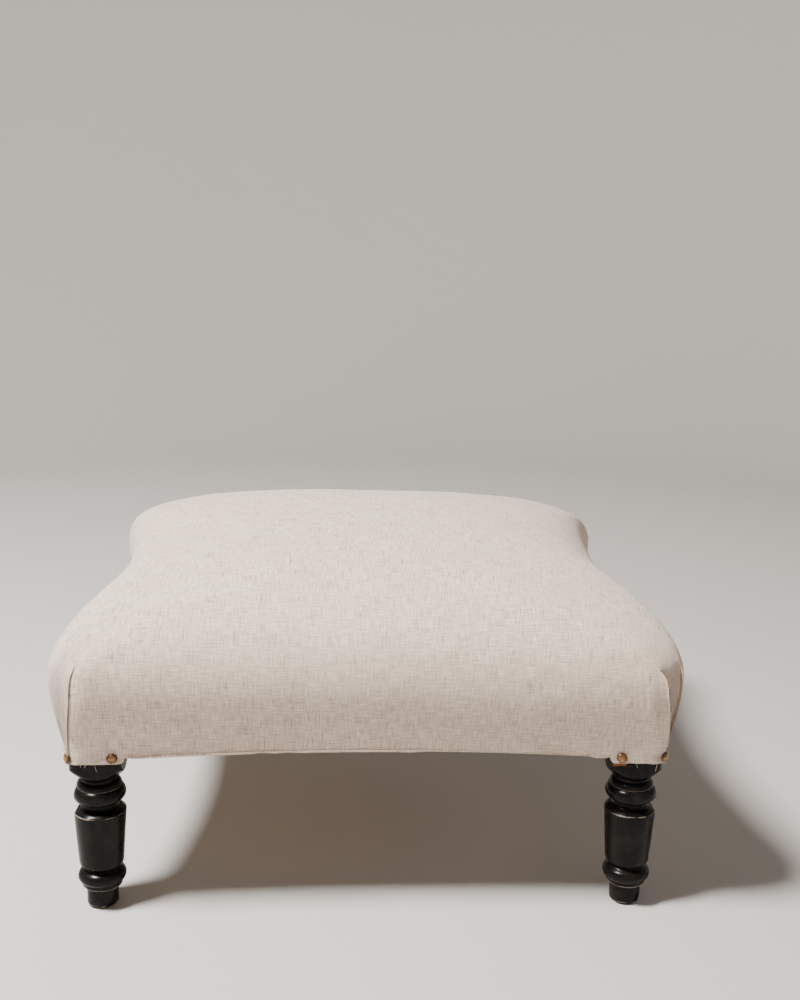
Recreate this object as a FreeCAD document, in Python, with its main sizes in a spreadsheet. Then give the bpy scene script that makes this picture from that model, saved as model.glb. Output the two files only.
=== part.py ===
"""Upholstered footstool: turned legs, joined rails, webbing, coil springs, stuffing and a linen cover.

Millimetres. X runs to the right, Y to the back, Z up from the floor. The origin is on the
floor under the middle of the stool.
"""
import FreeCAD, Part
import math
import os

import Sketcher
from FreeCAD import Placement, Rotation, Vector

# Driving sizes: alias, value in millimetres (or degrees and counts where the note says so), note
SIZES = [
    ("leg_spacing_x", 534, "between leg axes, left to right"),
    ("leg_spacing_y", 486, "between leg axes, front to back"),
    ("block_size", 52, "square top block of a leg"),
    ("block_round", 12, "rounding of the block's outer arris"),
    ("block_length", 76, "straight, square part of the block, up to the top of the rails"),
    ("turning_allowance", 0.15, "turned round outside the block's corners before the flats are cut"),
    ("shoulder_upper", 10.8, "length of the shoulder from its bulge up to the square block"),
    ("shoulder_lower", 10.2, "length of the shoulder below its bulge"),
    ("shoulder_bulge_radius", 28.4, "middle of the rounded shoulder"),
    ("upper_neck_radius", 17.6, "neck under the shoulder"),
    ("upper_neck_length", 2.2, "plain length of that neck"),
    ("ovolo_radius", 22.4, "upper, smaller bead"),
    ("ovolo_length", 7, "height of the upper bead"),
    ("bead_radius", 26, "large bead"),
    ("bead_upper", 6.2, "from the large bead's widest part up to the fillet line"),
    ("bead_lower", 10, "from the large bead's widest part down to its foot"),
    ("bead_edge_radius", 21.6, "fillet line between the two beads"),
    ("bead_foot_radius", 18.2, "where the large bead meets the lower neck"),
    ("bead_foot_length", 2, "slope between the lower neck and the large bead"),
    ("lower_neck_radius", 16.4, "neck between bead and drum"),
    ("cove_length", 5.4, "height of the cove over the drum"),
    ("cove_radius", 22, "outer edge of the cove"),
    ("rim_slope", 2.8, "height of the slope from the cove to the drum's rim"),
    ("drum_top_radius", 26, "rim of the tapered drum"),
    ("drum_edge", 1.2, "eased edge of the rim"),
    ("drum_length", 56.4, "tapered drum"),
    ("drum_foot_radius", 22, "lower end of the tapered drum"),
    ("ankle_flare", 5.4, "height of the slope between the ankle and the drum"),
    ("ankle_radius", 17.4, "neck under the drum"),
    ("ankle_slope", 1.8, "height of the slope between the ring and the ankle"),
    ("ring_top_radius", 19.8, "top edge of the ring above the foot"),
    ("ring_upper", 6.2, "from the ring's widest part up to its top edge"),
    ("ring_radius", 24, "widest part of the ring"),
    ("ring_lower", 6.4, "from the ring's widest part down to its lower edge"),
    ("ring_foot_radius", 21, "lower edge of the ring"),
    ("step_radius", 20, "small step under the ring"),
    ("step_length", 4.8, "height of that step"),
    ("foot_radius", 15.7, "plain foot"),
    ("foot_length", 22.4, "length of the plain foot"),
    ("foot_chamfer", 3, "bevel round the sole"),
    ("rail_thickness", 26, "front, rear and side rails"),
    ("front_waist", 9, "how far the front and rear are drawn in at their middle"),
    ("side_waist", 30, "how far the sides are drawn in at their middle"),
    ("hem_lift", 3, "from the foot of the square block up to the cover's tip"),
    ("hem_step", 6.5, "from the tip up to the lower edge of the cover beside the block"),
    ("hem_rise", 5.5, "arch of that edge, from beside the blocks to the middle of a side"),
    ("hem_lap", 27, "half width of the cover's tip over a leg block, from the leg axis"),
    ("hem_below_rail", 0.5, "how far the cover hangs below the rail's edge"),
    ("tenon_length", 20, "stub tenon of a rail"),
    ("tenon_thickness", 9, "stub tenon"),
    ("tenon_setback", 8.5, "from the rail's outer face to the tenon"),
    ("tenon_shoulder", 9, "shoulder of the rail over and under the tenon"),
    ("joint_clearance", 0.1, "round a tenon or nail in its hole"),
    ("strap_width", 50, "webbing"),
    ("strap_thickness", 1.6, "webbing"),
    ("strap_pitch_x", 130, "between the straps that run front to back"),
    ("strap_pitch_y", 118, "between the straps that run left to right"),
    ("strap_setback", 5, "from the rail's outer face to the end of a strap"),
    ("strap_flat_margin", 3, "flat stretch of a strap beyond a spring's end coil"),
    ("strap_landing", 4, "flat stretch of a strap inside the rail's edge"),
    ("strap_gap", 0.3, "webbing to what it touches"),
    ("wire_diameter", 3.2, "spring wire"),
    ("spring_end_radius", 40, "end coils of a spring"),
    ("spring_waist_radius", 27, "middle coils of a spring"),
    ("spring_height", 104, "between the middles of the end coils of the middle spring"),
    ("spring_turns", 4.5, "count of turns"),
    ("spring_start", 60, "degrees from +X to the wire's lower end, which lies on the upper strap"),
    ("spring_end_pitch", 0.3, "share of the mean pitch that the end coils have"),
    ("hessian_thickness", 1.2, "cloth over the springs"),
    ("hessian_lap_x", 2, "from the waist of the side rails to the hessian's edge"),
    ("hessian_lap_y", 5, "from the waist of the front and rear rails to the hessian's edge"),
    ("hessian_margin", 2, "from the outer springs to the slope of the hessian"),
    ("hessian_slope", 58, "width of the sloping stretch of hessian"),
    ("cling_band", 13, "the cover lies flat on the wood for this height above its tip"),
    ("widest_rise", 10, "from the top of the rails to where the padded sides bulge most"),
    ("crown_rise", 106, "from there to the top of the cover"),
    ("crown_bulge", 12, "outward curve of the sides near the crown"),
    ("side_bulge", 15, "how far the padded sides stand out beyond the hem"),
    ("pad_corner_radius", 42, "corners of the cover at its widest"),
    ("hem_corner_radius", 15, "corners of the cover at the hem"),
    ("cover_standoff", 2, "from wood to the inside of the cover"),
    ("cover_thickness", 1.2, "linen"),
    ("layer_gap", 0.3, "between two layers of the upholstery"),
    ("wood_gap", 0.6, "from the faces of the frame to the stuffing"),
    ("stuffing_lift", 33, "from the cover's tip up to the roll that hangs over the rails"),
    ("nail_radius", 5.2, "brass dome"),
    ("nail_dome", 3.2, "height of the dome"),
    ("nail_shank", 1.5, "square shank"),
    ("nail_depth", 8, "shank in the wood"),
    ("nail_rise", 6, "from the cover's tip up to the nails"),
    ("nail_offset", 18, "from the leg axis to the inner nails"),
    ("nail_gap", 0.1, "under the rim of a nail's head"),
]

doc = FreeCAD.newDocument("Footstool")
sheet = doc.addObject("Spreadsheet::Sheet", "Sizes")
for row, (alias, value, note) in enumerate(SIZES, start=1):
    sheet.set(f"A{row}", alias)
    sheet.set(f"B{row}", str(value))
    sheet.set(f"C{row}", note)
    sheet.setAlias(f"B{row}", alias)
doc.recompute()


def size(expression):
    """Value of an expression of the sheet's aliases, written with the Sizes prefix."""
    return float(sheet.evalExpression(expression))


def named(alias):
    """Value of one cell."""
    return float(sheet.get(alias))


# Helpers for sketches


def sketch_on(body, name, role):
    """New sketch on one of the body's own origin planes."""
    sketch = body.newObject("Sketcher::SketchObject", name)
    plane = next(p for p in body.Origin.OriginFeatures if p.Role == role)
    sketch.AttachmentSupport = [(plane, "")]
    sketch.MapMode = "FlatFace"
    return sketch


def hold(sketch, geometry, end, x, y):
    """Dimension a sketch point from the origin; x and y are expressions or plain numbers."""
    for kind, entry in (("DistanceX", x), ("DistanceY", y)):
        value = size(entry) if isinstance(entry, str) else entry
        constraint = Sketcher.Constraint(kind, -1, 1, geometry, end, value)
        index = sketch.addConstraint(constraint)
        if isinstance(entry, str):
            sketch.setExpression(f"Constraints[{index}]", entry)


def located(entry):
    """Vector of a pair of expressions or numbers."""
    values = [size(e) if isinstance(e, str) else e for e in entry]
    return Vector(values[0], values[1], 0)


def closed_outline(sketch, corners, bows=None):
    """Closed outline through the corners. bows maps a corner's index to the point that the arc
    from it to the next corner passes through; the other stretches are straight."""
    bows = bows or {}
    first = sketch.GeometryCount
    count = len(corners)
    starts = []
    for i, corner in enumerate(corners):
        here = located(corner)
        there = located(corners[(i + 1) % count])
        if i not in bows:
            sketch.addGeometry(Part.LineSegment(here, there), False)
            starts.append(1)
            continue
        bow = located(bows[i])
        leftward = (bow - here).cross(there - bow).z > 0
        ends = (here, there) if leftward else (there, here)
        sketch.addGeometry(Part.Arc(ends[0], bow, ends[1]), False)
        starts.append(1 if leftward else 2)
    for i, corner in enumerate(corners):
        before = (i - 1) % count
        sketch.addConstraint(
            Sketcher.Constraint("Coincident", first + before, 3 - starts[before], first + i, starts[i])
        )
        hold(sketch, first + i, starts[i], *corner)
    for i, through in bows.items():
        point = sketch.addGeometry(Part.Point(located(through)), True)
        hold(sketch, point, 1, *through)
        sketch.addConstraint(Sketcher.Constraint("PointOnObject", point, 1, first + i))


def circle_at(sketch, x, y, diameter):
    """Circle with its centre and diameter held by expressions."""
    index = sketch.addGeometry(Part.Circle(located((x, y)), Vector(0, 0, 1), size(diameter) / 2), False)
    hold(sketch, index, 3, x, y)
    constraint = sketch.addConstraint(Sketcher.Constraint("Diameter", index, size(diameter)))
    sketch.setExpression(f"Constraints[{constraint}]", diameter)


def lift(sketch, expression):
    """Move a sketch along the normal of its plane."""
    sketch.setExpression("AttachmentOffset.Base.z", expression)


def pad(body, name, sketch, length, both=False):
    """Pad of a sketch, one way or symmetric."""
    feature = body.newObject("PartDesign::Pad", name)
    feature.Profile = sketch
    feature.setExpression("Length", length)
    feature.SideType = "Symmetric" if both else "One side"
    return feature


def pocket(body, name, sketch, depth=None, back=False):
    """Pocket of a sketch to a depth, or right through both ways. It has to take material away."""
    doc.recompute()
    before = body.Shape.Volume
    feature = body.newObject("PartDesign::Pocket", name)
    feature.Profile = sketch
    if depth is None:
        feature.Type = "ThroughAll"
        feature.SideType = "Symmetric"
    else:
        feature.setExpression("Length", depth)
        feature.Reversed = back
    doc.recompute()
    if not body.Shape.Volume < before - 1e-6:
        raise RuntimeError(f"{name} cuts nothing")
    return feature


def stand(thing, x, y, turn, z="0"):
    """Place a sub-part by expressions, turned about the vertical by whole degrees."""
    thing.Placement = Placement(Vector(size(x), size(y), size(z)), Rotation(Vector(0, 0, 1), turn))
    thing.setExpression("Placement.Base.x", x)
    thing.setExpression("Placement.Base.y", y)
    thing.setExpression("Placement.Base.z", z)


HALF_X = "Sizes.leg_spacing_x / 2"
HALF_Y = "Sizes.leg_spacing_y / 2"
HALF_BLOCK = "Sizes.block_size / 2"

# Heights, stacked from the floor up

LEG_LENGTHS = (
    "foot_length",
    "step_length",
    "ring_lower",
    "ring_upper",
    "ankle_slope",
    "ankle_flare",
    "drum_length",
    "rim_slope",
    "cove_length",
    "bead_foot_length",
    "bead_lower",
    "bead_upper",
    "ovolo_length",
    "upper_neck_length",
    "shoulder_lower",
    "shoulder_upper",
    "block_length",
)


def top_of(alias):
    """Height above the floor of the upper end of one length of the leg."""
    below = LEG_LENGTHS[: LEG_LENGTHS.index(alias) + 1]
    return "(" + " + ".join(f"Sizes.{length}" for length in below) + ")"


BLOCK_FOOT = top_of("shoulder_upper")
BLOCK_TOP = top_of("block_length")
HEM_TIP = f"({BLOCK_FOOT} + Sizes.hem_lift)"
HEM_END = f"({HEM_TIP} + Sizes.hem_step)"
RAIL_FOOT = f"({HEM_END} + Sizes.hem_below_rail)"
ARCH_TOP = f"({RAIL_FOOT} + Sizes.hem_rise)"
TENON_BOTTOM = f"({ARCH_TOP} + Sizes.tenon_shoulder)"
TENON_TOP = f"({BLOCK_TOP} - Sizes.tenon_shoulder)"
NAIL_HEIGHT = f"({HEM_TIP} + Sizes.nail_rise)"

# Legs: a turning with a square block, mortised on its two inner faces

LEG_PROFILE = [
    ("0", "0"),
    ("Sizes.foot_radius - Sizes.foot_chamfer", "0"),
    ("Sizes.foot_radius", "Sizes.foot_chamfer"),
    ("Sizes.foot_radius", top_of("foot_length")),
    ("Sizes.step_radius", top_of("foot_length")),
    ("Sizes.step_radius", top_of("step_length")),
    ("Sizes.ring_foot_radius", top_of("step_length")),
    ("Sizes.ring_top_radius", top_of("ring_upper")),
    ("Sizes.ankle_radius", top_of("ankle_slope")),
    ("Sizes.drum_foot_radius", top_of("ankle_flare")),
    ("Sizes.drum_top_radius", top_of("drum_length") + " - Sizes.drum_edge"),
    ("Sizes.drum_top_radius - Sizes.drum_edge", top_of("drum_length")),
    ("Sizes.cove_radius", top_of("rim_slope")),
    (
        "Sizes.lower_neck_radius + (Sizes.cove_radius - Sizes.lower_neck_radius) * 0.3",
        top_of("rim_slope") + " + Sizes.cove_length * 0.3",
    ),
    ("Sizes.lower_neck_radius", top_of("cove_length")),
    ("Sizes.bead_foot_radius", top_of("bead_foot_length")),
    ("Sizes.bead_edge_radius", top_of("bead_upper")),
    ("Sizes.ovolo_radius", top_of("bead_upper")),
    (
        "Sizes.ovolo_radius - (Sizes.ovolo_radius - Sizes.upper_neck_radius) * 0.2",
        top_of("bead_upper") + " + Sizes.ovolo_length * 0.6",
    ),
    ("Sizes.upper_neck_radius", top_of("ovolo_length")),
    ("Sizes.upper_neck_radius", top_of("upper_neck_length")),
    ("Sizes.shoulder_bulge_radius", top_of("shoulder_lower")),
    ("Sizes.block_size * sqrt(0.5) + Sizes.turning_allowance", BLOCK_FOOT),
    ("Sizes.block_size * sqrt(0.5) + Sizes.turning_allowance", BLOCK_TOP),
    ("0", BLOCK_TOP),
]
LEG_BOWS = {
    6: ("Sizes.ring_radius", top_of("ring_lower")),
    15: ("Sizes.bead_radius", top_of("bead_lower")),
}
COVER_REACH_SIZE = "(Sizes.cover_standoff + Sizes.cover_thickness)"


def bow_radius(spacing, waist):
    """Radius of a bowed side, so that it runs tangent into the cover's round corners."""
    run = f"({spacing} / 2 + {HALF_BLOCK} + {COVER_REACH_SIZE} - Sizes.hem_corner_radius)"
    return f"(({run} ^ 2 + {waist} ^ 2) / (2 * {waist}) - Sizes.hem_corner_radius)"


def bow_setback(spacing, waist, inside):
    """How far a bowed side lies inside the blocks' faces, at a distance inside the leg's axis."""
    radius = bow_radius(spacing, waist)
    return f"({waist} - {radius} + sqrt({radius} ^ 2 - ({spacing} / 2 - {inside}) ^ 2))"


FRONT_SIDE = ("Sizes.leg_spacing_x", "Sizes.front_waist")
RIGHT_SIDE = ("Sizes.leg_spacing_y", "Sizes.side_waist")
NAIL_SEAT = f"({HALF_BLOCK} + {COVER_REACH_SIZE} + Sizes.nail_gap)"
NAIL_HOLE = "(Sizes.nail_shank / 2 + Sizes.joint_clearance)"


def nail_spots(first, second):
    """Where the nails of a corner sit: place in plan and turn of the head, from facing -Y. The sides
    are those of the faces towards -Y and -X."""
    seats = [f"({NAIL_SEAT} - {bow_setback(*side, 'Sizes.nail_offset')})" for side in (first, second)]
    leans = [f"asin(({side[0]} / 2 - Sizes.nail_offset) / {bow_radius(*side)})" for side in (first, second)]
    corner = f"({NAIL_SEAT} - Sizes.hem_corner_radius * (1 - sqrt(0.5)))"
    return [
        ("Sizes.nail_offset", f"-{seats[0]}", leans[0]),
        (f"-{seats[1]}", "Sizes.nail_offset", f"-90 deg - {leans[1]}"),
        (f"-{corner}", f"-{corner}", "-45"),
    ]


def nail_hole(body, name, x, y, turn):
    """Square hole for a nail's shank."""
    hole = sketch_on(body, name, "XZ_Plane")
    hole.AttachmentOffset = Placement(Vector(), Rotation(Vector(0, 1, 0), size(turn)))
    hole.setExpression("AttachmentOffset.Base.x", x)
    hole.setExpression("AttachmentOffset.Base.z", f"-({y})")
    corners = [
        (f"{side}{NAIL_HOLE}", f"{NAIL_HEIGHT} {rise} {NAIL_HOLE}")
        for side, rise in (("-", "-"), ("", "-"), ("", "+"), ("-", "+"))
    ]
    closed_outline(hole, corners)
    depth = f"{COVER_REACH_SIZE} + Sizes.nail_gap + Sizes.nail_depth + Sizes.joint_clearance"
    pocket(body, name + "_cut", hole, depth)


def leg(node, x, y, turn, first, second):
    """One leg, drawn as the front left one and turned to its corner. The sides are those that its
    outer faces towards -Y and -X belong to; each face leans with the bow of its side."""
    body = doc.addObject("PartDesign::Body", node)
    body.Label = node
    profile = sketch_on(body, node + "_profile", "XZ_Plane")
    closed_outline(profile, LEG_PROFILE, LEG_BOWS)
    turning = body.newObject("PartDesign::Revolution", node + "_turning")
    turning.Profile = profile
    turning.ReferenceAxis = (profile, ["V_Axis"])

    square = sketch_on(body, node + "_square", "XY_Plane")
    lift(square, BLOCK_TOP)
    low = "-" + HALF_BLOCK
    eased = low + " + Sizes.block_round"
    arris = low + " + Sizes.block_round * (1 - sqrt(0.5))"
    setbacks = [bow_setback(*side, HALF_BLOCK) for side in (first, second)]
    corners = [
        (eased, low),
        (HALF_BLOCK, f"{low} + {setbacks[0]}"),
        (HALF_BLOCK, HALF_BLOCK),
        (f"{low} + {setbacks[1]}", HALF_BLOCK),
        (low, eased),
    ]
    closed_outline(square, corners, {4: (arris, arris)})
    circle_at(square, "0", "0", "Sizes.block_size * 1.5")
    flats = "Sizes.block_length + Sizes.shoulder_upper + Sizes.shoulder_lower"
    pocket(body, node + "_flats", square, flats)

    bottom = f"{TENON_BOTTOM} - Sizes.joint_clearance"
    top = f"{TENON_TOP} + Sizes.joint_clearance"
    depth = "Sizes.tenon_length + Sizes.joint_clearance"
    for mark, role, offset, back, setback in (
        ("a", "YZ_Plane", HALF_BLOCK, False, setbacks[0]),
        ("b", "XZ_Plane", "-" + HALF_BLOCK, True, setbacks[1]),
    ):
        near = f"-{HALF_BLOCK} + {setback} + Sizes.tenon_setback - Sizes.joint_clearance"
        far = near + " + Sizes.tenon_thickness + 2 * Sizes.joint_clearance"
        mortise = sketch_on(body, f"{node}_mortise_{mark}", role)
        lift(mortise, offset)
        closed_outline(mortise, [(near, bottom), (far, bottom), (far, top), (near, top)])
        pocket(body, f"{node}_mortise_{mark}_cut", mortise, depth, back=back)

    for mark, spot in zip("abc", nail_spots(first, second)):
        nail_hole(body, f"{node}_nail_hole_{mark}", *spot)
    stand(body, x, y, turn)
    return body


CORNERS = {
    "leg_front_left": ("-" + HALF_X, "-" + HALF_Y, 0),
    "leg_front_right": (HALF_X, "-" + HALF_Y, 90),
    "leg_rear_right": (HALF_X, HALF_Y, 180),
    "leg_rear_left": ("-" + HALF_X, HALF_Y, 270),
}
parts = []
for node, (x, y, turn) in CORNERS.items():
    sides = (FRONT_SIDE, RIGHT_SIDE) if turn % 180 == 0 else (RIGHT_SIDE, FRONT_SIDE)
    parts.append(leg(node, x, y, turn, *sides))

# Rails: bowed in plan, arched underneath, with a stub tenon at each end


def rail(node, spacing, waist, x, y, turn):
    """One rail, drawn as the front one and turned to its side. Its local Y is 0 on the leg axes."""
    body = doc.addObject("PartDesign::Body", node)
    body.Label = node
    half = f"({spacing} / 2 - {HALF_BLOCK})"
    middle = f"-{HALF_BLOCK} + {waist}"
    end = f"-{HALF_BLOCK} + {bow_setback(spacing, waist, HALF_BLOCK)}"
    plan = sketch_on(body, node + "_plan", "XY_Plane")
    lift(plan, RAIL_FOOT)
    closed_outline(
        plan,
        [
            ("-" + half, end),
            (half, end),
            (half, end + " + Sizes.rail_thickness"),
            ("-" + half, end + " + Sizes.rail_thickness"),
        ],
        {0: ("0", middle), 2: ("0", middle + " + Sizes.rail_thickness")},
    )
    pad(body, node + "_bow", plan, f"{BLOCK_TOP} - {RAIL_FOOT}")

    arch = sketch_on(body, node + "_arch", "XZ_Plane")
    closed_outline(
        arch,
        [("-" + half, RAIL_FOOT), (half, RAIL_FOOT), (half, BLOCK_FOOT), ("-" + half, BLOCK_FOOT)],
        {0: ("0", ARCH_TOP)},
    )
    pocket(body, node + "_arch_cut", arch)

    tenon = sketch_on(body, node + "_tenon", "XY_Plane")
    lift(tenon, TENON_BOTTOM)
    near = end + " + Sizes.tenon_setback"
    far = near + " + Sizes.tenon_thickness"
    tip = f"({half} + Sizes.tenon_length)"
    closed_outline(tenon, [(half, near), (tip, near), (tip, far), (half, far)])
    closed_outline(tenon, [("-" + half, near), ("-" + tip, near), ("-" + tip, far), ("-" + half, far)])
    pad(body, node + "_tenons", tenon, f"{TENON_TOP} - {TENON_BOTTOM}")

    stand(body, x, y, turn)
    return body


RAILS = {
    "rail_front": ("Sizes.leg_spacing_x", "Sizes.front_waist", "0", "-" + HALF_Y, 0),
    "rail_right": ("Sizes.leg_spacing_y", "Sizes.side_waist", HALF_X, "0", 90),
    "rail_rear": ("Sizes.leg_spacing_x", "Sizes.front_waist", "0", HALF_Y, 180),
    "rail_left": ("Sizes.leg_spacing_y", "Sizes.side_waist", "-" + HALF_X, "0", 270),
}
parts += [rail(node, *values) for node, values in RAILS.items()]


def feature(node, shape):
    """Sub-part with a shape of its own."""
    thing = doc.addObject("Part::Feature", node)
    thing.Label = node
    thing.Shape = shape
    return thing


# Webbing: three straps each way, woven over and under


def sagitta_height(half, reach):
    """Height of the arched lower edge of a rail at a distance from its middle."""
    rise = named("hem_rise")
    radius = (half * half + rise * rise) / (2 * rise)
    return size(ARCH_TOP) - radius + math.sqrt(radius * radius - reach * reach)


def strap_seat(spacing, place):
    """Height of the middle of a strap where it is fixed under the rails."""
    half = (spacing - named("block_size")) / 2
    reach = abs(place) + named("strap_width") / 2
    return sagitta_height(half, reach) - named("strap_gap") - named("strap_thickness") / 2


COVER_REACH = named("cover_standoff") + named("cover_thickness")
PLACES = (-1, 0, 1)
SEATS_CROSS = {i: strap_seat(named("leg_spacing_x"), i * named("strap_pitch_x")) for i in PLACES}
SEATS_LONG = {j: strap_seat(named("leg_spacing_y"), j * named("strap_pitch_y")) for j in PLACES}
OVER = (named("strap_thickness") + named("strap_gap")) / 2


def crossing(i, j):
    """Height of the middle of a crossing of two straps."""
    return (SEATS_CROSS[i] + SEATS_LONG[j]) / 2


def strap(node, half_length, bearing, pitch, seat, heights, turn, offset):
    """One strap, drawn along X. It lies under the rails at its ends and weaves between them."""
    body = doc.addObject("PartDesign::Body", node)
    body.Label = node
    flat = named("spring_end_radius") + named("strap_flat_margin")
    line = [(-half_length, seat), (-bearing, seat)]
    for step, height in zip(PLACES, heights):
        line += [(step * pitch - flat, height), (step * pitch + flat, height)]
    line += [(bearing, seat), (half_length, seat)]
    rise = named("strap_thickness") / 2
    upper = [(x, z + rise) for x, z in line]
    lower = [(x, z - rise) for x, z in reversed(line)]
    profile = sketch_on(body, node + "_profile", "XZ_Plane")
    closed_outline(profile, upper + lower)
    pad(body, node + "_web", profile, "Sizes.strap_width", both=True)
    along = Vector(0, offset, 0) if turn == 0 else Vector(offset, 0, 0)
    body.Placement = Placement(along, Rotation(Vector(0, 0, 1), turn))
    return body


def bow_inset(spacing, waist, place):
    """How far a rail's outer face lies inside the blocks' faces at a distance from its middle."""
    run = (spacing + named("block_size")) / 2 + COVER_REACH - named("hem_corner_radius")
    arc = (run * run + waist * waist) / (2 * waist) - named("hem_corner_radius")
    return waist - arc + math.sqrt(arc * arc - place * place)


def strap_reach(across, along, waist, place):
    """Half length of a strap and where it leaves the rail's inner edge, from the stool's middle."""
    near = max(abs(place) - named("strap_width") / 2, 0)
    face = (along + named("block_size")) / 2 - bow_inset(across, waist, near)
    return face - named("strap_setback"), face - named("rail_thickness") - named("strap_landing")


def webbing():
    """Six straps: cross ones run front to back, long ones left to right."""
    made = []
    for i in PLACES:
        place = i * named("strap_pitch_x")
        reach = strap_reach(named("leg_spacing_x"), named("leg_spacing_y"), named("front_waist"), place)
        heights = [crossing(i, j) + (OVER if (i + j) % 2 == 0 else -OVER) for j in PLACES]
        made.append(
            strap(f"webbing_cross_{i + 2}", *reach, named("strap_pitch_y"), SEATS_CROSS[i], heights, 90, place)
        )
    for j in PLACES:
        place = j * named("strap_pitch_y")
        reach = strap_reach(named("leg_spacing_y"), named("leg_spacing_x"), named("side_waist"), place)
        heights = [crossing(i, j) - (OVER if (i + j) % 2 == 0 else -OVER) for i in PLACES]
        made.append(
            strap(f"webbing_long_{j + 2}", *reach, named("strap_pitch_x"), SEATS_LONG[j], heights, 0, place)
        )
    return made


parts += webbing()

# Springs: waisted coils of one wire, standing on the crossings of the webbing


def coil_point(share, rise):
    """Point and tangent of the wire's middle line at a share of the coil's length in turns. The rise
    is between the middles of the end coils."""
    turns = named("spring_turns")
    angle = 2 * math.pi * turns * share
    ends, waist = named("spring_end_radius"), named("spring_waist_radius")
    swing = 2 * share - 1
    radius = waist + (ends - waist) * swing * swing
    ease = 1 - named("spring_end_pitch")
    height = rise * (share - ease * math.sin(2 * math.pi * share) / (2 * math.pi))
    radius_rate = 4 * (ends - waist) * swing
    height_rate = rise * (1 - ease * math.cos(2 * math.pi * share))
    point = Vector(radius * math.cos(angle), radius * math.sin(angle), height)
    turning = 2 * math.pi * turns * radius
    tangent = Vector(
        radius_rate * math.cos(angle) - turning * math.sin(angle),
        radius_rate * math.sin(angle) + turning * math.cos(angle),
        height_rate,
    )
    return point, tangent.normalize()


WIRE_SIDES = 4
STATIONS_PER_TURN = 10


def wire_section(point, way):
    """Square section of the wire, square to its line."""
    side = Vector(0, 0, 1).cross(way).normalize()
    up = way.cross(side).normalize()
    radius = named("wire_diameter") / 2
    corners = []
    for k in range(WIRE_SIDES):
        angle = 2 * math.pi * (k + 0.5) / WIRE_SIDES
        corners.append(point + side * (radius * math.cos(angle)) + up * (radius * math.sin(angle)))
    return Part.makePolygon(corners + corners[:1])


def coil(rise):
    """One spring in short straight lengths, because it is hidden inside the stool."""
    count = round(named("spring_turns") * STATIONS_PER_TURN)
    sections = [wire_section(*coil_point(k / count, rise)) for k in range(count + 1)]
    return Part.makeLoft(sections, True, True)


SPRING_SPOTS = [(-1, -1), (1, -1), (0, 0), (-1, 1), (1, 1)]


def own_gap(rise):
    """Least gap between the wire and itself, most of a turn or more apart, measured on points."""
    per_turn = 60
    count = round(named("spring_turns") * per_turn)
    points = [coil_point(k / count, rise)[0] for k in range(count + 1)]
    least = min(
        (points[i] - points[j]).Length for i in range(count) for j in range(i + per_turn * 2 // 3, count + 1)
    )
    return least - named("wire_diameter")


def spring_foot(i, j):
    """Height of the middle of a spring's lowest coil over a crossing of the webbing."""
    top = crossing(i, j) + OVER + named("strap_thickness") / 2
    return top + named("strap_gap") + named("wire_diameter") / 2


SPRING_CREST = spring_foot(0, 0) + named("spring_height")
for number, (i, j) in enumerate(SPRING_SPOTS, start=1):
    foot = spring_foot(i, j)
    rise = SPRING_CREST - foot
    print(f"seat_spring_{number}: least gap of the wire to itself {own_gap(rise):.2f} mm")
    spring = feature(f"seat_spring_{number}", coil(rise))
    spot = Vector(i * named("strap_pitch_x"), j * named("strap_pitch_y"), foot)
    spring.Placement = Placement(spot, Rotation(Vector(0, 0, 1), named("spring_start")))
    parts.append(spring)

# Upholstery: lofts through outlines of eight arcs, four bowed sides and four round corners


def side_arc(half_along, half_out, corner, waist):
    """Unit vector from a corner circle's centre to where the bowed side leaves the circle."""
    run = half_along - corner
    reach = (run * run + waist * waist) / (2 * waist)
    radius = reach - corner
    return -run / reach, -(corner - waist + radius) / reach


def waisted_outline(half_x, half_y, corner, waist_x, waist_y, height):
    """Closed wire of eight tangent arcs. Each waist is the inward bow of a pair of sides."""
    front = side_arc(half_x, half_y, corner, waist_x)
    swapped = side_arc(half_y, half_x, corner, waist_y)
    side = (-swapped[1], -swapped[0])
    middle_angle = (math.atan2(front[1], front[0]) + math.atan2(side[1], side[0])) / 2
    middle = (math.cos(middle_angle), math.sin(middle_angle))
    centre = (half_x - corner, -(half_y - corner))

    def spot(way, flip_x, flip_y):
        x = centre[0] + corner * way[0]
        y = centre[1] + corner * way[1]
        return Vector(x * flip_x, y * flip_y, height)

    turns = [(1, 1), (1, -1), (-1, -1), (-1, 1)]
    edges = []
    for number, (flip_x, flip_y) in enumerate(turns):
        first, last = (front, side) if number % 2 == 0 else (side, front)
        corner_points = [spot(way, flip_x, flip_y) for way in (first, middle, last)]
        edges.append(Part.Arc(*corner_points).toShape())
        if number % 2 == 0:
            bow = Vector((half_x - waist_y) * flip_x, 0, height)
            far = spot(side, turns[(number + 1) % 4][0], turns[(number + 1) % 4][1])
        else:
            bow = Vector(0, -(half_y - waist_x) * flip_y, height)
            far = spot(front, turns[(number + 1) % 4][0], turns[(number + 1) % 4][1])
        edges.append(Part.Arc(corner_points[2], bow, far).toShape())
    return Part.Wire(edges)


CROWN_SHARES = (0.98, 0.91, 0.78, 0.58, 0.34, 0.1)
STUFFING_SHARES = CROWN_SHARES[1::2]
CROWN_SPREAD = 2.5
CROWN_ROOT = 2.3


def eased_waist(waist, share):
    """Bow of a side part of the way to the crown, where it turns outward."""
    weight = share ** 1.9
    bow = share * (waist * weight - named("crown_bulge") * (1 - weight))
    return bow if abs(bow) > 0.5 else math.copysign(0.5, bow)


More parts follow.
